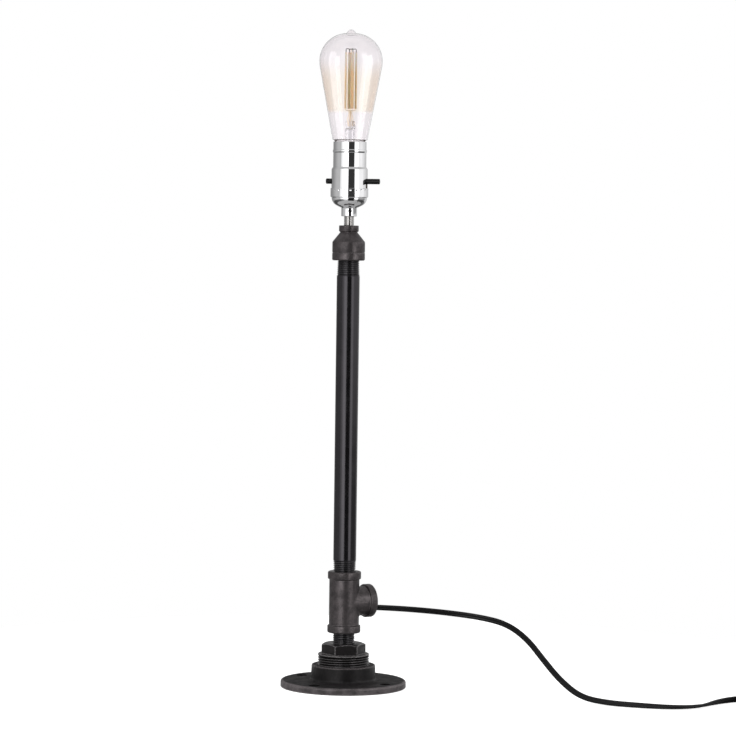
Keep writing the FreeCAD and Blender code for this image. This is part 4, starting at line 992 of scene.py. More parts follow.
class Finisher:
    """Makes each material once and dresses pieces and CAD nodes with it."""

    def __init__(self) -> None:
        """Start with no material made."""
        self.made: dict[str, bpy.types.Material] = {}

    def get(self, name: str) -> bpy.types.Material:
        """The material of a finish."""
        if name not in self.made:
            self.made[name] = FINISHES[name].make()
        return self.made[name]

    def dress(self, piece: Piece, name: str) -> Piece:
        """Give a whole piece one finish.

        Args:
            piece: The piece.
            name: The finish.

        Returns:
            The piece.
        """
        piece.data.materials.clear()
        piece.data.materials.append(self.get(name))
        return piece

    def put(self, piece: Piece, body: Body, name: str, *nodes: str) -> Piece:
        """Dress a piece and place it with a slot of its finish's name."""
        return place(self.dress(piece, name), body, name, *nodes)

    def dress_node(self, node: str, name: str) -> None:
        """Give a CAD node that stays a finish, through its object's slots.

        Args:
            node: The node's name.
            name: The finish.
        """
        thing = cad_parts[node]
        if not thing.material_slots:
            thing.data.materials.append(None)
        for slot in thing.material_slots:
            slot.link = "OBJECT"
            slot.material = self.get(name)
        LOG.info("%s keeps its shape, finish %s", node, name)


# ------------------------------------------------------------ threaded sleeve


@dataclass(frozen=True)
class Thread:
    """A sleeve with a helical thread at one or both ends."""

    name: str
    foot: float
    top: float
    low_face: float
    high_face: float
    low_show: float
    high_show: float
    radius: float
    root: float
    bore: float
    pitch: float
    taper: float = 0.03125
    bury: float = 1.2
    runout: float = 1.8
    low_rows: int = 120
    high_rows: int = 120
    columns: int = 112

    SIZES = ("foot", "top", "low_face", "high_face", "low_show", "high_show", "radius",
             "root", "bore", "pitch", "taper", "bury", "runout")
    COUNTS = ("low_rows", "high_rows", "columns")

    def make(self, material: bpy.types.Material) -> Piece:
        """Run the tree with these sizes.

        Args:
            material: The sleeve's material.

        Returns:
            The sleeve.
        """
        sizes = {size: getattr(self, size) * (1.0 if size == "taper" else MM)
                 for size in self.SIZES}
        counts = {count: getattr(self, count) for count in self.COUNTS}
        return grown(self.name, thread_tree(), 62.0, material=material, **sizes, **counts)


def geometry_tree(name: str, sizes: Sequence[str], counts: Sequence[str]) -> tuple[Graph, Results]:
    """A new Geometry Nodes tree.

    Args:
        name: Its name.
        sizes: Names of its number inputs.
        counts: Names of its whole-number inputs.

    Returns:
        Its graph and its inputs by name, with one for the material.
    """
    tree = bpy.data.node_groups.new(name, "GeometryNodeTree")
    tree.interface.new_socket("mesh", in_out="OUTPUT", socket_type="NodeSocketGeometry")
    for kind, keys in (("Float", sizes), ("Int", counts), ("Material", ("material",))):
        for key in keys:
            tree.interface.new_socket(key, in_out="INPUT", socket_type="NodeSocket" + kind)
    graph = Graph(tree)
    return graph, graph.given()


def closed_tree(graph: Graph, mesh: Result, material: Result) -> bpy.types.GeometryNodeTree:
    """Let a mesh leave its tree, made real and painted.

    Args:
        graph: The tree's graph.
        mesh: The mesh.
        material: Its material.

    Returns:
        The tree.
    """
    real = graph.add("GeometryNodeRealizeInstances", {"Geometry": mesh})
    painted = graph.add("GeometryNodeSetMaterial", {"Geometry": real[0], "Material": material})
    graph.add("NodeGroupOutput", {0: painted[0]})
    return graph.tree


def grown(name: str, tree: bpy.types.GeometryNodeTree, angle: float, **values: Value) -> Piece:
    """A piece that a Geometry Nodes tree makes, kept as a plain mesh.

    Args:
        name: The piece's name.
        tree: The tree.
        angle: Edges sharper than this are shaded sharp.
        **values: The tree's inputs.

    Returns:
        The piece.
    """
    piece = new_piece(name, np.zeros((1, 3)), [])
    modifier = piece.modifiers.new("tree", "NODES")
    modifier.node_group = tree
    for item in tree.interface.items_tree:
        if item.in_out == "INPUT":
            modifier[item.identifier] = values[item.name]
    return smooth(settled(piece), angle)


def thread_tree() -> bpy.types.GeometryNodeTree:
    """The tree that turns a grid into a threaded sleeve, built once.

    Returns:
        The Geometry Nodes tree, its sizes in metres.
    """
    name = "Threaded sleeve"
    if name in bpy.data.node_groups:
        return bpy.data.node_groups[name]
    graph, given = geometry_tree(name, Thread.SIZES, Thread.COUNTS)
    calc = graph.math

    rows = given["low_rows"] + given["high_rows"]
    steps = rows + 4.0
    grid = graph.add("GeometryNodeMeshGrid", {"Size X": 1.0, "Size Y": 1.0,
                                              "Vertices X": given["columns"] + 1.0,
                                              "Vertices Y": steps + 1.0})
    position = graph.add("GeometryNodeInputPosition")[0]
    where = graph.parts(position)
    turn = where["X"] + 0.5
    step = calc("ROUND", (where["Y"] + 0.5) * steps)

    low_length = given["low_face"] + given["low_show"] - given["foot"]
    high_length = given["top"] + given["high_show"] - given["high_face"]
    plain = given["top"] - given["foot"] - (low_length + high_length)
    low_share = calc("DIVIDE", step, given["low_rows"], clamp=True)
    plain_share = calc("SUBTRACT", step, given["low_rows"], clamp=True)
    high_share = calc("DIVIDE", step - given["low_rows"] - 1.0, given["high_rows"], clamp=True)
    height = low_share * low_length + given["foot"]
    height = plain_share * plain + height
    height = high_share * high_length + height

    phase = calc("FRACT", height / given["pitch"] - turn)
    wave = calc("ABSOLUTE", phase * 2.0 + -1.0)
    ridge = graph.ramp(wave, 0.14, 0.88)

    def side(outward: Result, show: Result) -> tuple[Result, Result]:
        """Radius and crest mask at a distance outward from a fitting's face.

        Args:
            outward: The distance.
            show: How far the thread shows.

        Returns:
            The radius and the mask.
        """
        short = calc("MAXIMUM", show - outward, 0.0)
        crest = given["radius"] - short * given["taper"]
        root = outward * given["taper"] + given["root"]
        ending = graph.ramp(outward, show - given["runout"], show)
        root = root + ending * (given["radius"] - root)
        start = given["bury"] * -1.0
        shown = graph.ramp(outward, start, start * 0.5)
        raised = ridge * shown
        radius = root + raised * (crest - root)
        return radius, raised * (1.0 - ending)

    low_radius, low_crest = side(height - given["low_face"], given["low_show"])
    high_radius, high_crest = side(given["high_face"] - height, given["high_show"])
    wall = calc("MINIMUM", calc("MINIMUM", low_radius, high_radius), given["radius"])
    inside = calc("GREATER_THAN", step, rows + 1.5)
    closing = calc("GREATER_THAN", step, rows + 3.5)
    inside = inside - closing
    back_down = calc("GREATER_THAN", step, rows + 2.5)
    height = height - back_down * (height - given["foot"])
    foot_wall = closing * (given["root"] - (given["low_face"] - given["foot"]) * given["taper"])
    radius = wall * (1.0 - inside - closing) + (inside * given["bore"] + foot_wall)
    angle = turn * (2 * math.pi)
    spot = graph.add("ShaderNodeCombineXYZ", {"X": radius * calc("COSINE", angle),
                                              "Y": radius * calc("SINE", angle), "Z": height})
    marked = graph.add("GeometryNodeStoreNamedAttribute",
                       {"Geometry": grid["Mesh"], "Name": "crest",
                        "Value": calc("MAXIMUM", low_crest, high_crest) * (1.0 - inside)},
                       data_type="FLOAT", domain="POINT")
    moved = graph.add("GeometryNodeSetPosition", {"Geometry": marked[0], "Position": spot[0]})
    merged = graph.add("GeometryNodeMergeByDistance", {"Geometry": moved[0], "Distance": 2e-6})
    return closed_tree(graph, merged[0], given["material"])


# --------------------------------------------------------------- sweeps, cuts


def swept(name: str, path: np.ndarray, section: np.ndarray, sides: np.ndarray,
          ups: np.ndarray, closed: bool = False) -> Piece:
    """A piece whose section follows a path.

    Args:
        name: The piece's name.
        path: Points in millimetres.
        section: (across, up) points, anticlockwise seen against the path.
        sides: The section's across direction at each point.
        ups: The section's up direction at each point.
        closed: True if the path's end meets its start.

    Returns:
        The piece, its ends closed.
    """
    verts: list[np.ndarray] = []
    rows: list[list[int]] = []
    for spot, side, up in zip(path, sides, ups):
        rows.append(list(range(len(verts), len(verts) + len(section))))
        verts += list(spot + section[:, :1] * side + section[:, 1:] * up)
    faces = grid_faces(rows, closed)
    if not closed:
        faces += [tuple(reversed(rows[0])), tuple(rows[-1])]
    return smooth(new_piece(name, np.array(verts), faces), 50.0)


def ring_section(radius: float, count: int = 12) -> np.ndarray:
    """A round section."""
    turn = np.arange(count) * 2 * math.pi / count
    return np.stack((np.cos(turn), np.sin(turn)), axis=1) * radius


def carried_frames(path: np.ndarray, twist: float = 0.0) -> tuple[np.ndarray, np.ndarray]:
    """Directions across a path that turn with it as little as they can.

    Args:
        path: Points.
        twist: Extra degrees of turn for each millimetre.

    Returns:
        The across and up directions.
    """
    ways = unit(np.gradient(path, axis=0))
    side = np.cross(ways[0], (0.0, 0.0, 1.0) if abs(ways[0][2]) < 0.9 else (1.0, 0.0, 0.0))
    sides, ups = [], []
    run = 0.0
    for number, way in enumerate(ways):
        side = side - way * np.dot(side, way)
        side /= np.linalg.norm(side)
        up = np.cross(side, way)
        run += np.linalg.norm(path[number] - path[number - 1]) if number else 0.0
        turn = math.radians(twist * run)
        sides.append(side * math.cos(turn) + up * math.sin(turn))
        ups.append(up * math.cos(turn) - side * math.sin(turn))
    return np.array(sides), np.array(ups)


def wire(name: str, points: Sequence[Point], radius: float) -> Piece:
    """A round wire along a smooth line near some points, which are closely spaced at bends."""
    path = resampled(spline_points(name, points), 0.5)
    return swept(name, path, ring_section(radius), *carried_frames(path))


def joined(name: str, pieces: Sequence[Piece]) -> Piece:
    """One piece from several meshes.

    Args:
        name: The new piece's name.
        pieces: The pieces, which are deleted.

    Returns:
        The new piece.
    """
    work = bmesh.new()
    for piece in pieces:
        work.from_mesh(piece.data)
    mesh = bpy.data.meshes.new(name)
    work.to_mesh(mesh)
    work.free()
    for piece in pieces:
        bpy.data.objects.remove(piece)
    return linked(name, mesh)


def cut(piece: Piece, *cutters: Piece) -> Piece:
    """Take cutters out of a piece and delete them.

    Args:
        piece: The piece.
        *cutters: Closed meshes.

    Returns:
        The piece.
    """
    for cutter in cutters:
        modifier = piece.modifiers.new("cut", "BOOLEAN")
        modifier.operation = "DIFFERENCE"
        modifier.solver = "EXACT"
        modifier.object = cutter
    settled(piece)
    for cutter in cutters:
        bpy.data.objects.remove(cutter)
    return smooth(piece)


def spline_points(name: str, points: Sequence[Point], samples: int = 12) -> np.ndarray:
    """The line of one NURBS spline with these control points.

    Args:
        name: A name for the spline's curve.
        points: Control points in millimetres.
        samples: Points of the line for each control point.

    Returns:
        The line's points in millimetres.
    """
    curve = bpy.data.curves.new(name + "_route", "CURVE")
    curve.dimensions = "3D"
    line = curve.splines.new("NURBS")
    line.points.add(len(points) - 1)
    for target, point in zip(line.points, points):
        target.co = (*(part * MM for part in point), 1.0)
    line.order_u = 3
    line.use_endpoint_u = True
    line.resolution_u = samples
    holder = bpy.data.objects.new(name + "_route", curve)
    mesh = bpy.data.meshes.new_from_object(holder)
    found = np.array([vertex.co[:] for vertex in mesh.vertices]) / MM
    bpy.data.objects.remove(holder)
    bpy.data.curves.remove(curve)
    bpy.data.meshes.remove(mesh)
    return found


def resampled(path: np.ndarray, step: float) -> np.ndarray:
    """Points evenly spaced along a line.

    Args:
        path: The line.
        step: The spacing.

    Returns:
        The points.
    """
    runs = runs_along(path)
    even = np.linspace(0.0, runs[-1], max(2, round(runs[-1] / step) + 1))
    return np.stack([np.interp(even, runs, path[:, axis]) for axis in range(3)], axis=1)


# --------------------------------------------------------------------- studio


@dataclass
class Studio:
    """Camera, pale floor, soft lamps and a white surround."""

    camera_at: Point = (-1.41803, -2.59945, 0.4468)
    heading: float = 28.9883
    dip: float = 2.8748
    roll: float = 0.75
    lens: float = 156.03
    floor: float = 0.52
    target: Point = (0.0, 0.0, 0.32)
    ceiling: float = 0.5
    plain: float = 0.48
    back: float = 0.45
    walls: tuple[tuple[float, float, float], ...] = (
        (-163.0, 0.28, 3.0), (-106.0, 0.52, 26.0), (-60.0, 1.02, 3.0), (-39.0, 2.5, 12.0),
        (-9.0, 0.035, 3.0), (35.0, 1.95, 3.5), (60.0, 1.0, 6.0), (100.0, 0.82, 4.0),
        (125.0, 0.62, 12.0), (163.0, 0.45, 3.0))
    boxes: tuple[tuple[float, float, float], ...] = ((-94.0, -58.0, 4.6), (43.0, 66.0, 4.2))
    inside: float = 0.45
    soft: float = 3.0

    def build(self) -> None:
        """Set everything that isn't the lamp."""
        self.set_camera()
        self.lay_floor()
        self.light()
        self.surround()
        bpy.context.scene.view_settings.view_transform = "Standard"

    def set_camera(self) -> None:
        """The camera, turned a little about its own line of sight."""
        heading, dip, roll = (math.radians(part) for part in (self.heading, self.dip, self.roll))
        ahead = Vector((math.sin(heading) * math.cos(dip), math.cos(heading) * math.cos(dip),
                        -math.sin(dip)))
        level = Vector((math.cos(heading), -math.sin(heading), 0.0))
        above = level.cross(ahead)
        right = level * math.cos(roll) + above * math.sin(roll)
        up = above * math.cos(roll) - level * math.sin(roll)
        data = bpy.data.cameras.new("camera")
        data.lens = self.lens
        data.sensor_width = 36.0
        data.clip_end = 50.0
        camera = linked("camera", data)
        axes = Matrix((right, up, -ahead)).transposed().to_4x4()
        camera.matrix_world = Matrix.Translation(self.camera_at) @ axes
        bpy.context.scene.camera = camera

    def lay_floor(self) -> None:
        """A pale floor that keeps the lamp's soft shadow."""
        turn = np.radians(np.arange(0.0, 360.0, 5.0))
        rim = np.stack((np.cos(turn), np.sin(turn), np.zeros(len(turn))), axis=1)
        floor = new_piece("floor", rim * self.floor / MM, [tuple(range(len(turn)))])
        work = Material("floor_paint", {"Base Color": (0.8, 0.8, 0.8), "Roughness": 0.9,
                                        "Specular IOR Level": 0.2})
        cloud = work.noise(work.place, 3.0, 3.0)
        rays = work.add("ShaderNodeLightPath")
        paint = work.blend(cloud, (0.80, 0.80, 0.80), (0.83, 0.83, 0.83))
        work.feed(work.shader.node, "Base Color",
                  work.blend(rays["Is Glossy Ray"], paint, (0.5, 0.5, 0.5)))
        lit = work.math("MAXIMUM", rays["Is Camera Ray"], rays["Is Transmission Ray"])
        glow = work.add("ShaderNodeEmission", {"Strength": lit * 0.75})
        both = work.add("ShaderNodeAddShader", {0: work.shader[0], 1: glow[0]})
        work.feed(work.leave.node, "Surface", both[0])
        floor.data.materials.append(work.material)

    def soft_box(self, name: str, azimuth: float, distance: float, height: float,
                 size: tuple[float, float], level: float) -> None:
        """A large lamp.

        Args:
            name: The lamp's name.
            azimuth: Degrees from the camera's side, to the right.
            distance: Metres from the column.
            height: Metres above the floor.
            size: Width and height in metres.
            level: Brightness of its face, where white is 1.
        """
        spot = Vector(flat_way(-90.0 - self.heading + azimuth)) * distance
        spot.z = height
        data = bpy.data.lights.new(name, "AREA")
        data.shape = "RECTANGLE"
        data.size, data.size_y = size
        data.energy = level * size[0] * size[1] * math.pi
        lamp = linked(name, data)
        lamp.visible_glossy = lamp.visible_camera = lamp.visible_transmission = False
        lamp.location = spot
        lamp.rotation_euler = (Vector(self.target) - spot).to_track_quat("-Z", "Y").to_euler()

    def light(self) -> None:
        """Two tall soft lamps beside the camera and one above."""
        self.soft_box("left_lamp", -76.0, 1.5, 0.7, (0.9, 1.5), 3.0)
        self.soft_box("right_lamp", 54.0, 1.7, 0.7, (0.6, 1.5), 2.6)
        self.soft_box("top_lamp", 10.0, 0.8, 1.7, (1.2, 0.8), 1.6)

    def studio_walls(self, graph: Graph, around: Result, height: Result) -> Result:
        """Brightness of the studio by direction.

        Two white screens stand beside the camera with a dark gap between them, and
        end above a dark floor; the sides and the ceiling are grey.

        Args:
            graph: The world's node graph.
            around: Degrees from the camera's side, to the right.
            height: Degrees above the horizon.

        Returns:
            The brightness.
        """
        level: Value = self.back
        before = self.back
        for edge, bright, blur in self.walls:
            level = level + graph.ramp(around, edge - blur, edge + blur, 0.0, bright - before)
            before = bright
        right = graph.ramp(around, 56.0, 66.0) * graph.ramp(around, 118.0, 132.0, 1.0, 0.0)
        sunk = right * graph.ramp(height, -6.5, 0.0, 0.7, 0.0, "LINEAR")
        level = level * (1.0 - sunk)
        level = level * graph.ramp(height, -23.0, -17.0, 0.22, 1.0)
        above = graph.ramp(height, 24.0, 50.0)
        return level * (1.0 - above) + above * self.ceiling

    def mirrored_boxes(self, graph: Graph, around: Result, height: Result) -> Result:
        """The soft boxes as the bulb's inner surfaces mirror them.

        Args:
            graph: The world's node graph.
            around: Degrees from the camera's side, to the right.
            height: Degrees above the horizon.

        Returns:
            The brightness.
        """
        tall = graph.ramp(height, -24.0, -20.0) * graph.ramp(height, 28.0, 32.0, 1.0, 0.0)
        level: Value = 0.0
        for start, end, bright in self.boxes:
            fall = graph.ramp(around, end - self.soft, end, bright, 0.0)
            level = level + graph.ramp(around, start, start + self.soft) * fall
        return level * tall

    def surround(self) -> None:
        """White behind the lamp for the camera and glass, screens and walls for gloss,
        and a plain level for the light it sheds."""
        world = bpy.data.worlds.new("surround")
        bpy.context.scene.world = world
        world.use_nodes = True
        graph = Graph(world.node_tree)
        graph.tree.nodes.clear()
        rays = graph.add("ShaderNodeLightPath")
        towards = graph.add("ShaderNodeVectorRotate",
                            {"Vector": graph.add("ShaderNodeTexCoord")["Generated"],
                             "Angle": math.radians(90.0 + self.heading)}, rotation_type="Z_AXIS")
        split = graph.parts(towards[0])
        around = graph.math("DEGREES", graph.math("ARCTAN2", split["Y"], split["X"]))
        height = graph.math("DEGREES", graph.math("ARCSINE", split["Z"]))
        walls = self.studio_walls(graph, around, height)
        behind = graph.ramp(split["X"], -0.7, -0.86)
        sides = graph.math("MINIMUM", graph.math("MAXIMUM", walls, 0.75), 0.9)
        bounced = graph.math("MINIMUM", rays["Glossy Depth"], 1.0)
        mirrored = bounced * self.mirrored_boxes(graph, around, height)
        through = graph.math("MAXIMUM", graph.math("MAXIMUM", sides, behind), mirrored)
        inside = graph.math("MINIMUM", rays["Diffuse Depth"], 1.0)
        through = through * (inside * self.inside + 1.0)
        clear = rays["Is Transmission Ray"]
        shiny = rays["Is Glossy Ray"] * (1.0 - clear)
        seen = graph.math("MAXIMUM", rays["Is Camera Ray"],
                          graph.math("MAXIMUM", shiny * walls, clear * through))
        rest = 1.0 - graph.math("MAXIMUM", rays["Is Camera Ray"],
                                graph.math("MAXIMUM", shiny, clear))
        level = rest * self.plain + seen
        light = graph.add("ShaderNodeBackground", {"Color": (1.0, 1.0, 1.0, 1.0),
                                                   "Strength": level})
        graph.add("ShaderNodeOutputWorld", {"Surface": light[0]})


# ------------------------------------------------------------ sub-assemblies


@dataclass
class BaseFittings:
    """Flange, bushing, short nipple and tee."""

    finisher: Finisher
    big_root: float = 22.55
    big_crest: float = 23.85
    big_pitch: float = 2.209
    pipe_root: float = 9.35
    pipe_pitch: float = 1.814
    nipple_radius: float = 10.15
    bore: float = 7.9

    def build(self) -> None:
        """Make and dress the four fittings."""
        put = self.finisher.put
        put(refined("base_flange", "flange", 0.25), Body.LAMP, "flange_iron", "base_flange")
        put(refined("reducing_bushing", "bushing", 0.35), Body.LAMP, "bushing_iron",
            "reducing_bushing")
        top = LEVELS.hex_foot - 1.75
        sleeve = Thread("bushing_thread", 12.5, top, LEVELS.hub_top, top, top - LEVELS.hub_top,
                        0.0, self.big_crest, self.big_root, self.big_root - 0.3, self.big_pitch,
                        0.0, 1.6, 0.1, 70, 1, 168)
        place(sleeve.make(self.finisher.get("thread_iron")), Body.LAMP, "bushing_iron")
        nipple = Thread("short_nipple", LEVELS.hex_top - LEVELS.engage,
                        LEVELS.tee_foot + LEVELS.engage, LEVELS.hex_top, LEVELS.tee_foot,
                        4.95, 4.95, self.nipple_radius, self.pipe_root, self.bore,
                        self.pipe_pitch, runout=0.5, low_rows=96, high_rows=96)
        place(nipple.make(self.finisher.get("pipe_steel")), Body.LAMP, "pipe_steel",
              "lower_nipple")
        put(refined("tee", "tee_fitting", 0.2), Body.LAMP, "fitting_iron", "tee")


@dataclass
class Column:
    """Main pipe, reducer and the lamp nipple above it."""

    finisher: Finisher
    radius: float = 10.65
    root: float = 9.35
    bore: float = 7.9
    pitch: float = 1.814
    low_show: float = 10.8
    high_show: float = 15.0
    stem_radius: float = 4.85
    stem_root: float = 4.25
    stem_bore: float = 3.5
    stem_pitch: float = 0.941
    stem_engage: float = 8.5
    stem_top: float = 447.5

    def build(self) -> None:
        """Make and dress the column."""
        pipe = Thread("pipe", LEVELS.tee_top - LEVELS.engage, LEVELS.reducer_foot + LEVELS.engage,
                      LEVELS.tee_top, LEVELS.reducer_foot, self.low_show, self.high_show,
                      self.radius, self.root, self.bore, self.pitch, low_rows=130, high_rows=152)
        place(pipe.make(self.finisher.get("pipe_steel")), Body.LAMP, "pipe_steel", "main_pipe")
        self.finisher.put(refined("reducing_coupling", "reducer", 0.2), Body.LAMP,
                          "fitting_iron", "reducing_coupling")
        stem = Thread("stem", LEVELS.reducer_top - self.stem_engage, self.stem_top,
                      LEVELS.reducer_top, LEVELS.cap_foot, self.stem_engage, 0.0,
                      self.stem_radius, self.stem_root, self.stem_bore, self.stem_pitch,
                      0.0, 0.4, 0.1, 170, 30, 80)
        place(stem.make(self.finisher.get("stem_steel")), Body.LAMP, "stem_steel",
              "lamp_nipple")


@dataclass
class Socket:
    """Chrome cap and shell with the insulated parts inside."""

    finisher: Finisher
    cap_rim: float = 17.5
    shell_radius: float = 16.75
    neck_radius: float = 15.35
    dimples: int = 20
    dimple_radius: float = 0.75
    dimple_depth: float = 0.3
    dimple_drop: float = 1.9
    screw_turn: float = 248.0

    def build(self) -> None:
        """Make and dress the socket."""
        put = self.finisher.put
        put(self.cap(), Body.LAMP, "chrome_shell", "socket_cap")
        put(self.shell(), Body.LAMP, "chrome_shell", "socket_shell")
        put(refined("set_screw", "grub_screw", 0.06), Body.LAMP, "screw_steel", "set_screw")
        for node, slot in (("insulating_liner", "card"), ("socket_interior", "phenolic"),
                           ("screw_shell", "brass_part"), ("centre_contact", "brass_part"),
                           ("terminal_screws", "brass_part")):
            self.finisher.dress_node(node, slot)

    def cap(self) -> Piece:
        """Pressed cap: hub, bowl and a bead with locking dimples.

        Returns:
            The cap.
        """
        foot, top = LEVELS.cap_foot, LEVELS.cap_top
        hub, meet = 7.25, LEVELS.cap_foot + 8.2
        inner = self.shell_radius + 0.15
        bead = top - 8.0
        points = outline([
            (4.91, foot), (hub - 0.5, foot, 0.5, 1), (hub, foot + 0.5),
            (hub, meet - 0.5, 0.7, -1), (hub + 0.5, meet - 0.08, 25.85, 1),
            (12.1647, 448.9037, 8.0, 1), (16.4, 455.9625), (16.9, bead - 0.35, 0.5, -1),
            (self.cap_rim, bead, 0.5, 1)], 3.0)
        points += [(self.cap_rim, z) for z in np.linspace(bead + 0.2, top - 0.35, 38)]
        points += outline([
            (self.cap_rim, top - 0.3, 0.3, 1), (self.cap_rim - 0.3, top, 0.3, 1),
            (inner, top - 0.3), (inner, 457.2625), (15.8, 456.1125),
            (15.8, 455.9625, 7.4, -1), (11.8824, 449.4331, 25.25, -1),
            (4.91, 446.9445)], 5.0)
        middle = top - self.dimple_drop

        def press(angles: np.ndarray, radii: np.ndarray, heights: np.ndarray) -> np.ndarray:
            """Push the wall in round each dimple's middle.

            Args:
                angles: Angles round the axis.
                radii: Radii there.
                heights: Heights there.

            Returns:
                The new radii.
            """
            if abs(heights[0] - middle) > self.dimple_radius * 1.6 or radii[0] < self.cap_rim - 0.1:
                return radii
            spacing = 2 * math.pi / self.dimples
            turned_by = angles - math.radians(LEVELS.socket_turn) + spacing / 2
            across = (np.mod(turned_by, spacing) - spacing / 2) * radii
            reach = np.hypot(across, heights - middle) / self.dimple_radius
            return radii - self.dimple_depth * np.clip(1.25 - reach ** 2, 0.0, 1.0)

        cap = turned("cap", points, 420, True, press)
        hole = drill("cap_hole", (0.0, 0.0, foot + 5.0), flat_way(self.screw_turn), 1.72, 5.2, 9.0)
        return cut(cap, hole)

    def shell(self) -> Piece:
        """Drawn shell: wide below, a slope, a narrow neck with one rolled bead.

        Returns:
            The shell.
        """
        foot = LEVELS.cap_top - 5.6
        step, rim = LEVELS.cap_top + 19.5, LEVELS.rim_z
        bead = rim - 8.8
        wide, neck, wall = self.shell_radius, self.neck_radius, 0.5
        points = outline([
            (wide, foot), (wide, step - 2.1, 1.6, 1), (wide - 0.35, step - 1.35),
            (neck + 0.3, step - 0.3, 1.2, -1), (neck, step + 0.4),
            (neck, bead - 1.8, 0.8, -1), (neck + 0.1, bead - 1.35, 2.6, 1),
            (neck + 0.1, bead + 1.35, 0.8, -1), (neck, bead + 1.8),
            (neck, rim - 0.9, 1.1, 1), (neck - 0.35, rim, 0.3, 1), (neck - 0.8, rim - 0.2),
            (neck - wall, rim - 1.1), (neck - wall, step - 0.1),
            (wide - wall, step - 1.9), (wide - wall, foot)], 4.0)
        shell = turned("shell", points, 200)
        return cut(shell, self.notch(flat_way(LEVELS.socket_turn)))

    def notch(self, way: Point) -> Piece:
        """The cutter for both notches that the rod lies in.

        Args:
            way: The rod's direction.

        Returns:
            The cutter.
        """
        half = 2.8
        low, high = LEVELS.cap_top - 7.0, LEVELS.rod_z
        section = [(-half, low), (half, low)] + [
            (half * math.cos(turn), high + half * math.sin(turn))
            for turn in np.linspace(0.0, math.pi, 17)]
        across = Vector((-way[1], way[0], 0.0))
        along = Vector(way)
        verts = [tuple(across * x + along * end + Vector((0, 0, z)))
                 for end in (-20.0, 20.0) for x, z in section]
        count = len(section)
        faces = [tuple(range(count)), tuple(range(2 * count - 1, count - 1, -1))]
        faces += [(k, k + count, (k + 1) % count + count, (k + 1) % count) for k in range(count)]
        return outward(new_piece("shell_notch", np.array(verts), faces))


def outward(piece: Piece) -> Piece:
    """Turn every face of a closed mesh outwards.

    Args:
        piece: The piece.

    Returns:
        The piece.
    """
    work = bmesh.new()
    work.from_mesh(piece.data)
    bmesh.ops.recalc_face_normals(work, faces=work.faces)
    work.to_mesh(piece.data)
    work.free()
    return piece


def drill(name: str, centre: Point, way: Point, radius: float, start: float,
          end: float) -> Piece:
    """A round cutter along a direction from a centre.

    Args:
        name: The cutter's name.
        centre: The centre.
        way: The direction.
        radius: The cutter's radius.
        start: Distance at which it starts.
        end: Distance at which it ends.

    Returns:
        The cutter.
    """
    along = Vector(way).normalized()
    path = np.array([Vector(centre) + along * start, Vector(centre) + along * end])
    return outward(swept(name, path, ring_section(radius, 40), *carried_frames(path)))


@dataclass
class Switch:
    """Push-through rod with its collar and spring."""

    finisher: Finisher
    radius: float = 2.5
    right: float = 28.9
    left: float = 22.3

    def build(self) -> None:
        """Make and dress the switch."""
        edge = 0.55
        points = outline([
            (0.0, -self.left), (self.radius - edge, -self.left, edge, 1),
            (self.radius, edge - self.left), (self.radius, self.right - edge, edge, 1),
            (self.radius - edge, self.right), (0.0, self.right)], 10.0, 2.0)
        rod = turned("push_rod", points, 48, closed=False)
        way = np.array(flat_way(LEVELS.socket_turn))
        across = np.array((-way[1], way[0], 0.0))
        for vertex in rod.data.vertices:
            x, y, z = vertex.co
            vertex.co = way * z + across * x + np.array((0.0, 0.0, LEVELS.rod_z * MM + y))
        self.finisher.put(smooth(outward(rod)), Body.SWITCH, "rod_black", "switch_rod")
        self.finisher.dress_node("contact_collar", "brass_part")
        self.finisher.dress_node("detent_spring", "spring_steel")


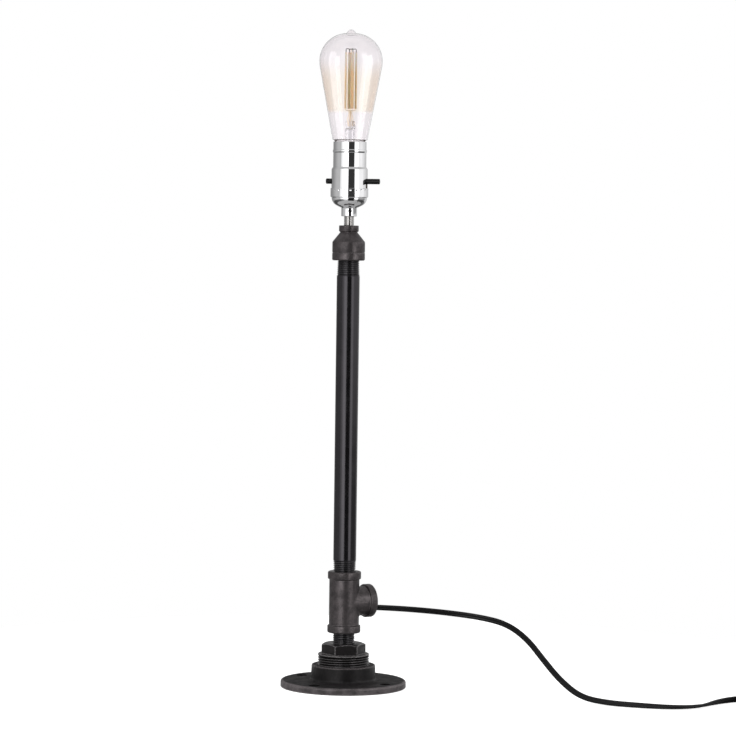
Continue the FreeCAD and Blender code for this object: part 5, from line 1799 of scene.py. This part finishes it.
@dataclass
class Bulb:
    """Clear pear-shaped bulb with upright light strips."""

    finisher: Finisher
    cone: float = 10.6
    glass: float = 0.8
    neck_foot: float = 495.7625
    mount_top: float = 526.7625
    strip_foot: float = 538.2625
    strip_top: float = 590.2625
    strip_turn: float = 80.0
    strip_width: float = 2.6
    strip_thickness: float = 1.6
    circle: float = 5.0
    strips: int = 4

    def build(self) -> None:
        """Make and dress the bulb."""
        put = self.finisher.put
        put(self.blown(), Body.BULB, "clear_glass", "bulb_glass")
        put(self.mount(), Body.BULB, "mount_glass", "bulb_mount")
        place(self.light_strips(), Body.BULB, "phosphor", "bulb_filaments")
        put(self.wires(), Body.BULB, "bulb_wire", "bulb_wires")
        place(self.leads(), Body.BULB, "bulb_wire")
        foot = 483.0625
        cap = Thread("screw_cap", foot, foot + 20.5, foot + 1.5, foot + 20.0, 18.0, 0.5,
                     12.8, 12.1, 11.75, 3.629, 0.0, 1.0, 2.0, 150, 20, 120)
        place(cap.make(self.finisher.get("cap_nickel")), Body.BULB, "cap_nickel", "bulb_cap")
        for node, slot in (("bulb_insulator", "black_glass"), ("bulb_tip_contact", "solder")):
            self.finisher.dress_node(node, slot)

    def blown(self) -> Piece:
        """Pear-shaped wall with a sealed tip.

        Returns:
            The glass.
        """
        wall = self.glass
        cos, sin = flat_way(self.cone)[:2]
        neck, throat = 12.3, 13.6
        foot = (16.22, 509.46)
        belly, waist = (28.6027, 575.6242), (29.2, 582.0625)
        points = outline([
            (neck, self.neck_foot), (neck, 503.0, 3.4, 1), (throat, 507.35, 3.4, -1), foot,
            (*belly, 35.0, 1), (*waist, 25.6, 1), (5.2, 607.65, 7.0, -1),
            (3.1, 609.65, 3.4, 1), (0.0, 611.3919)], 2.5, 3.0)
        points += outline([
            (0.0, 610.4, 3.0, -1), (2.5, 608.9, 6.0, 1), (5.0, 606.75, 24.8, -1),
            (waist[0] - wall, waist[1], 34.2, -1),
            (belly[0] - wall * cos, belly[1] + wall * sin),
            (foot[0] - wall * cos, foot[1] + wall * sin, 2.6, 1),
            (throat - wall, 508.1, 4.2, -1), (neck - wall, 503.4), (neck - wall, self.neck_foot)],
            2.5, 3.0)
        return turned("glass", points, 144)

    def mount(self) -> Piece:
        """Flared tube, pressed flat at its top round the lead wires.

        Returns:
            The mount.
        """
        rim, tube, wall = 11.45, 4.5, 1.0
        foot, top = self.neck_foot, self.mount_top
        press = top - 10.0
        points = outline([
            (rim - wall, foot), (rim, foot), (rim, foot + 1.2, 9.0, -1), (tube, foot + 12.0),
            (tube, press), (tube, top - 1.2, 1.2, 1), (tube - 1.2, top), (0.0, top)], 6.0, 1.5)
        points += outline([
            (0.0, top - 7.0), (tube - wall - 1.0, top - 7.0, 1.0, -1), (tube - wall, top - 8.0),
            (tube - wall, foot + 11.6, 9.0, 1), (rim - wall, foot + 0.8),
            (rim - wall, foot + 0.4)], 6.0, 1.5)
        flat = math.radians(self.strip_turn + 45.0)

        def pinch(angles: np.ndarray, radii: np.ndarray, heights: np.ndarray) -> np.ndarray:
            """Radii of an ellipse that grows flatter towards the top.

            Args:
                angles: Angles round the axis.
                radii: Radii there.
                heights: Heights there.

            Returns:
                The new radii.
            """
            share = eased(heights[0], press, 5.0)
            long, short = radii * (1 + 0.12 * share), radii * (1 - 0.55 * share)
            turn = angles - flat
            return long * short / np.hypot(short * np.cos(turn), long * np.sin(turn))

        return turned("glass_mount", points, 64, True, pinch)

    def light_strips(self) -> Piece:
        """The upright strips, repeated round a circle."""
        return grown("light_strips", strip_tree(), 35.0, circle=self.circle * MM,
                     foot=self.strip_foot * MM, length=(self.strip_top - self.strip_foot) * MM,
                     width=self.strip_width * MM, thickness=self.strip_thickness * MM,
                     turn=math.radians(self.strip_turn), count=self.strips,
                     material=self.finisher.get("phosphor"))

    def wires(self) -> Piece:
        """Dark spider over the strips.

        Returns:
            The wires.
        """
        top = self.strip_top
        parts = [self.spoke("arm", number, 0.36, (
            (0.2, top + 2.9), (1.5, top + 3.0), (3.4, top + 3.15), (self.circle, top + 3.1),
            (self.circle, top + 1.6), (self.circle, top - 1.4)))
            for number in range(self.strips)]
        return smooth(joined("bulb_wires_bent", parts))

    def leads(self) -> Piece:
        """Bright centre post, and wires from the mount to the strips' feet.

        Returns:
            The wires.
        """
        start, foot, top = self.mount_top, self.strip_foot, self.strip_top
        parts = [wire("post", [(0, 0, start - 6), (0, 0, start + 8), (0, 0, top - 8),
                               (0, 0, top + 2.8)], 0.3)]
        parts += [self.spoke("lead", number, 0.3, (
            (2.2, start - 5), (2.6, start + 1), (2.2, start + 4), (1.3, foot - 4.6),
            (1.3, foot - 2.6), (2.4, foot - 1.7), (self.circle - 0.7, foot - 1.6),
            (self.circle, foot - 0.7), (self.circle, foot + 1.2)))
            for number in range(self.strips)]
        return self.finisher.dress(smooth(joined("bulb_leads", parts)), "lead_wire")

    def spoke(self, name: str, number: int, radius: float,
              points: Sequence[tuple[float, float]]) -> Piece:
        """A wire in the upright plane through one strip.

        Args:
            name: The wire's name.
            number: The strip's number.
            radius: The wire's radius.
            points: Distances from the axis and heights.

        Returns:
            The wire.
        """
        turn = math.radians(self.strip_turn + 360.0 * number / self.strips)
        return wire(name, [(reach * math.cos(turn), reach * math.sin(turn), level)
                           for reach, level in points], radius)


def strip_tree() -> bpy.types.GeometryNodeTree:
    """The tree that stands strips with rounded corners round a circle.

    Returns:
        The Geometry Nodes tree, its sizes in metres.
    """
    graph, given = geometry_tree("Strips round a circle", (
        "circle", "foot", "length", "width", "thickness", "turn"), ("count",))
    number = graph.add("GeometryNodeInputIndex")[0]
    share = number / given["count"]
    turn = share * (2 * math.pi) + given["turn"]
    spot = graph.add("ShaderNodeCombineXYZ", {"X": given["circle"] * graph.math("COSINE", turn),
                                              "Y": given["circle"] * graph.math("SINE", turn),
                                              "Z": given["foot"]})
    spots = graph.add("GeometryNodePoints", {"Count": given["count"], "Position": spot[0]})
    corners = graph.add("GeometryNodeCurvePrimitiveQuadrilateral", {
        "Width": given["width"], "Height": given["thickness"]})
    rounded = graph.add("GeometryNodeFilletCurve", {"Curve": corners[0],
                                                    "Radius": given["thickness"] * 0.42,
                                                    "Limit Radius": True, "Count": 5}, mode="POLY")
    top = graph.add("ShaderNodeCombineXYZ", {"Z": given["length"]})
    line = graph.add("GeometryNodeCurvePrimitiveLine", {"End": top[0]})
    strip = graph.add("GeometryNodeCurveToMesh", {"Curve": line[0], "Profile Curve": rounded[0],
                                                  "Fill Caps": True})
    turned_by = graph.add("ShaderNodeCombineXYZ", {"Z": turn + math.pi / 2})
    repeated = graph.add("GeometryNodeInstanceOnPoints", {"Points": spots[0], "Instance": strip[0],
                                                          "Rotation": turned_by[0]})
    return closed_tree(graph, repeated[0], given["material"])


@dataclass
class Cord:
    """Flat twin cord: inside the column, out of the tee, along the table and coiled."""

    finisher: Finisher
    width: float = 5.6
    thick: float = 3.0
    length: float = 1.8
    leave: Point = (28.2, -1.5, 73.24)
    coil_at: tuple[float, float] = (313.0, -271.0)
    coil_foot: float = 3.2
    coil_step: float = 5.0
    turns: tuple[tuple[float, int], ...] = (
        (36.2, 0), (30.6, 0), (25.0, 0), (25.0, 1), (25.0, 2), (30.6, 1), (36.2, 1), (36.2, 2))
    per_turn: int = 16
    route: tuple[tuple[float, float, float, float], ...] = (
        (60.0, -9.0, 71.0, 68.0), (95.0, -22.0, 67.5, 72.0), (122.0, -42.0, 64.0, 78.0),
        (138.0, -66.0, 59.5, 92.0), (144.0, -93.0, 48.0, 112.0), (144.5, -120.0, 32.5, 125.0),
        (146.0, -147.0, 17.0, 130.0), (151.0, -174.0, 5.0, 130.0), (162.0, -200.0, 2.9, 132.0),
        (180.0, -223.0, 2.75, 140.0), (203.0, -245.0, 2.5, 162.0), (229.0, -251.0, 2.4, 184.0),
        (257.0, -238.0, 3.2, 235.0), (285.0, -231.0, 3.1, 272.0))
    coil_tilt: float = 315.0
    inner_top: float = 449.1
    line: list[Point] = field(default_factory=list, init=False)

    def build(self) -> None:
        """Make the cord, its inner run, the tie and the plug."""
        put = self.finisher.put
        plug = Plug(self.finisher).build()
        cord = put(self.outer(), Body.LAMP, "cord_black", "cord_tube", "cord_coil", "cord_tail")
        tuple(part * MM for part in self.leave)
        put(self.inner(), Body.LAMP, "cord_black", "inner_cord")
        put(self.tie(), Body.LAMP, "tie_black", "cord_tie")
        self.finisher.dress_node("conductors", "copper")

    def coil_points(self) -> list[tuple[float, float, float, float]]:
        """Control points of the coil's turns, wound inwards, up, and out again.

        Returns:
            The points, each with the section's tilt.
        """
        fit = 0.75 + 0.25 * math.cos(2 * math.pi / self.per_turn)
        points = []
        for number in range(1, self.per_turn * len(self.turns) - self.per_turn * 3 // 4 + 1):
            turn, share = divmod(number / self.per_turn, 1.0)
            here = self.turns[int(turn)]
            after = self.turns[min(int(turn) + 1, len(self.turns) - 1)]
            blend = eased(share, 0.7, 0.3)
            radius = (here[0] + (after[0] - here[0]) * blend) / fit
            level = self.coil_foot + self.coil_step * (here[1] + (after[1] - here[1]) * blend)
            angle = math.pi / 2 - number * 2 * math.pi / self.per_turn
            points.append((self.coil_at[0] + radius * math.cos(angle),
                           self.coil_at[1] + radius * math.sin(angle), level, self.coil_tilt))
        return points

    def control_points(self) -> list[tuple[float, float, float, float]]:
        """Every control point with the section's tilt there.

        Returns:
            The points, tilt last.
        """
        start = np.array(self.leave)
        ahead = np.array(self.route[0][:3]) - start
        inside = start - ahead / np.linalg.norm(ahead) * 10.0
        tail = [(350.0, -281.0, 12.4, 315.0), (347.8, -291.0, 10.4, 320.0),
                (345.2, -300.0, 7.9, 335.0), (344.0, -308.0, 6.5, 350.0)]
        return [(*inside, 64.0), (*self.leave, 64.0), *self.route, *self.coil_points(), *tail]

    def outer(self) -> Piece:
        """The cord from the tee to the plug, with its section turning along it.

        Returns:
            The cord.
        """
        points = self.control_points()
        path = resampled(spline_points("cord", [point[:3] for point in points]), 2.0)
        self.line = (path * MM).tolist()
        runs = runs_along(path)
        LOG.info("cord line %.0f mm", runs[-1])
        marks, last = [], 0
        for point in points:
            reach = slice(last, last + 60)
            near = last + int(np.argmin(np.linalg.norm(path[reach] - np.array(point[:3]), axis=1)))
            marks.append(runs[near])
            last = near
        tilt = np.radians(np.interp(runs, marks, [point[3] for point in points]))
        ways = unit(np.gradient(path, axis=0))
        level = unit(np.cross(ways, (0.0, 0.0, 1.0)))
        above = np.cross(level, ways)
        sides = level * np.cos(tilt)[:, None] + above * np.sin(tilt)[:, None]
        ups = above * np.cos(tilt)[:, None] - level * np.sin(tilt)[:, None]
        return swept("cord", path, self.section(), sides, ups)

    def section(self) -> np.ndarray:
        """Two round cores joined by a web.

        Returns:
            The section's points, anticlockwise.
        """
        lobe, offset = self.thick / 2, (self.width - self.thick) / 2
        right = [(offset + lobe * math.cos(turn), lobe * math.sin(turn))
                 for turn in np.radians(np.linspace(-130.0, 130.0, 14))]
        left = [(-x, -y) for x, y in right]
        web = self.thick * 0.32
        return np.array(right + [(0.0, web)] + left + [(0.0, -web)])

    def inner(self) -> Piece:
        """The run inside: in at the branch, up the pipe and into the cap.

        Returns:
            The piece.
        """
        leave = np.array(self.leave)
        ahead = np.array(self.route[0][:3]) - leave
        back = leave - ahead / np.linalg.norm(ahead) * 14.0
        rise = self.inner_top - leave[2]
        points = [tuple(leave - ahead / np.linalg.norm(ahead) * 8.0), tuple(back),
                  (0.0, 0.0, leave[2] + self.width / 2)]
        points += [(across * 0.6, along * 0.6, leave[2] + share * rise)
                   for share, across, along in ((0.08, 0, 0), (0.2, 1, 0.7), (0.345, -1, 0.3),
                                                (0.49, 0.7, -1), (0.64, 0, 0), (0.82, 0, 0.1),
                                                (0.92, 0, 0.05), (1, 0, 0))]
        path = resampled(spline_points("inner", points), 2.0)
        return swept("inner_lead", path, self.section(), *carried_frames(path, 0.5))

    def tie(self) -> Piece:
        """Soft tape once round the turns, as a closed loop.

        Returns:
            The tie.
        """
        left, right = self.coil_at[0] + 21.75, self.coil_at[0] + 40.25
        low, high = 0.42, 16.1
        round_by, thick, wide = 3.2, 0.72, 6.0
        path = []
        corners = ((right, low, -90.0), (right, high, 0.0), (left, high, 90.0), (left, low, 180.0))
        for x, z, start in corners:
            centre = (x - math.copysign(round_by, x - self.coil_at[0] - 31.0),
                      z - math.copysign(round_by, z - 9.5))
            path += [(centre[0] + round_by * math.cos(turn), self.coil_at[1],
                      centre[1] + round_by * math.sin(turn))
                     for turn in np.radians(start + np.linspace(0.0, 90.0, 7))]
        line = np.array(path)
        ways = unit(np.roll(line, -1, axis=0) - np.roll(line, 1, axis=0))
        sides = np.tile((0.0, 1.0, 0.0), (len(line), 1))
        edge = thick * 0.35
        half, deep = wide / 2, thick / 2
        section = np.array([(half - edge, -deep), (half, edge - deep), (half, deep - edge),
                            (half - edge, deep), (edge - half, deep), (-half, deep - edge),
                            (-half, edge - deep), (edge - half, -deep)])
        return outward(swept("coil_tie", line, section, sides, np.cross(sides, ways), True))


@dataclass
class Plug:
    """Moulded two-blade plug with a ribbed grip."""

    finisher: Finisher
    middle: Point = (344.0, -317.0, 6.5)
    length: float = 22.0
    grip: float = 13.0
    tail: float = 8.4
    spread: float = 6.35
    blade: float = 12.5
    hole: float = 1.6

    def build(self) -> list[Piece]:
        """Make and dress the plug.

        Returns:
            The body and the blades.
        """
        body = self.finisher.put(self.body(), Body.LAMP, "plug_black", "plug_body")
        blades = self.finisher.dress(refined("plug_blades", "blades", 0.25), "blade_brass")
        x, y, z = self.middle
        for side in (-self.spread, self.spread):
            cut(blades, drill("blade_hole", (x + side, y - self.length - self.blade, z),
                              (1.0, 0.0, 0.0), self.hole, -2.0, 2.0))
        place(blades, Body.LAMP, "blade_brass", "plug_blades")
        return [body, blades]

    def body(self) -> Piece:
        """Loft from the round grip, with its ribs, to the rounded block.

        Returns:
            The body.
        """
        stations = [(self.grip, self.tail - 0.8, self.tail - 0.8, 2.0),
                    (self.grip, self.tail - 0.4, self.tail - 0.4, 2.0)]
        ribs = 5
        for number in range(ribs):
            high = self.grip - 0.5 - number * 2.1
            wide = self.tail + 0.5 * number
            stations += [(high - drop, wide + more, wide + more, 2.0) for drop, more in (
                (0.0, 0.0), (0.2, 0.3), (1.0, 0.4), (1.2, 0.1), (1.35, -0.9), (1.9, -0.8))]
        stations += [(2.0, 12.0, 11.4, 2.1), (0.6, 13.2, 12.0, 2.3), (-0.4, 16.0, 12.5, 2.6),
                     (-1.6, 20.0, 12.8, 3.2), (-3.2, 22.8, 12.95, 4.2), (-5.4, 24.0, 13.0, 5.0),
                     (-10.0, 23.6, 12.7, 5.0), (-15.0, 23.6, 12.7, 5.0), (-19.5, 24.0, 13.0, 5.0),
                     (-21.2, 23.8, 12.8, 5.0), (-21.8, 23.2, 12.2, 5.0), (-22.0, 22.2, 11.2, 5.0)]
        verts, rows = [], []
        count = 64
        for back, wide, deep, power in stations:
            rows.append(list(range(len(verts), len(verts) + count)))
            for turn in np.arange(count) * 2 * math.pi / count:
                across, up = (math.copysign(abs(part) ** (2 / power), part)
                              for part in (math.cos(turn), math.sin(turn)))
                verts.append((self.middle[0] + across * wide / 2, self.middle[1] + back,
                              self.middle[2] + up * deep / 2))
        faces = grid_faces(rows, False) + [tuple(rows[0]), tuple(rows[-1])]
        return smooth(outward(new_piece("plug", np.array(verts), faces)), 40.0)


# ----------------------------------------------------------------------- main


def main() -> None:
    """Build the studio and the lamp."""
    logging.basicConfig(level=logging.INFO, format="%(name)s: %(message)s")
    Studio().build()
    finisher = Finisher()
    Cord(finisher).build()
    BaseFittings(finisher).build()
    Column(finisher).build()
    Socket(finisher).build()
    Switch(finisher).build()
    Bulb(finisher).build()
    bpy.context.view_layer.update()


if __name__ == "__main__":
    main()
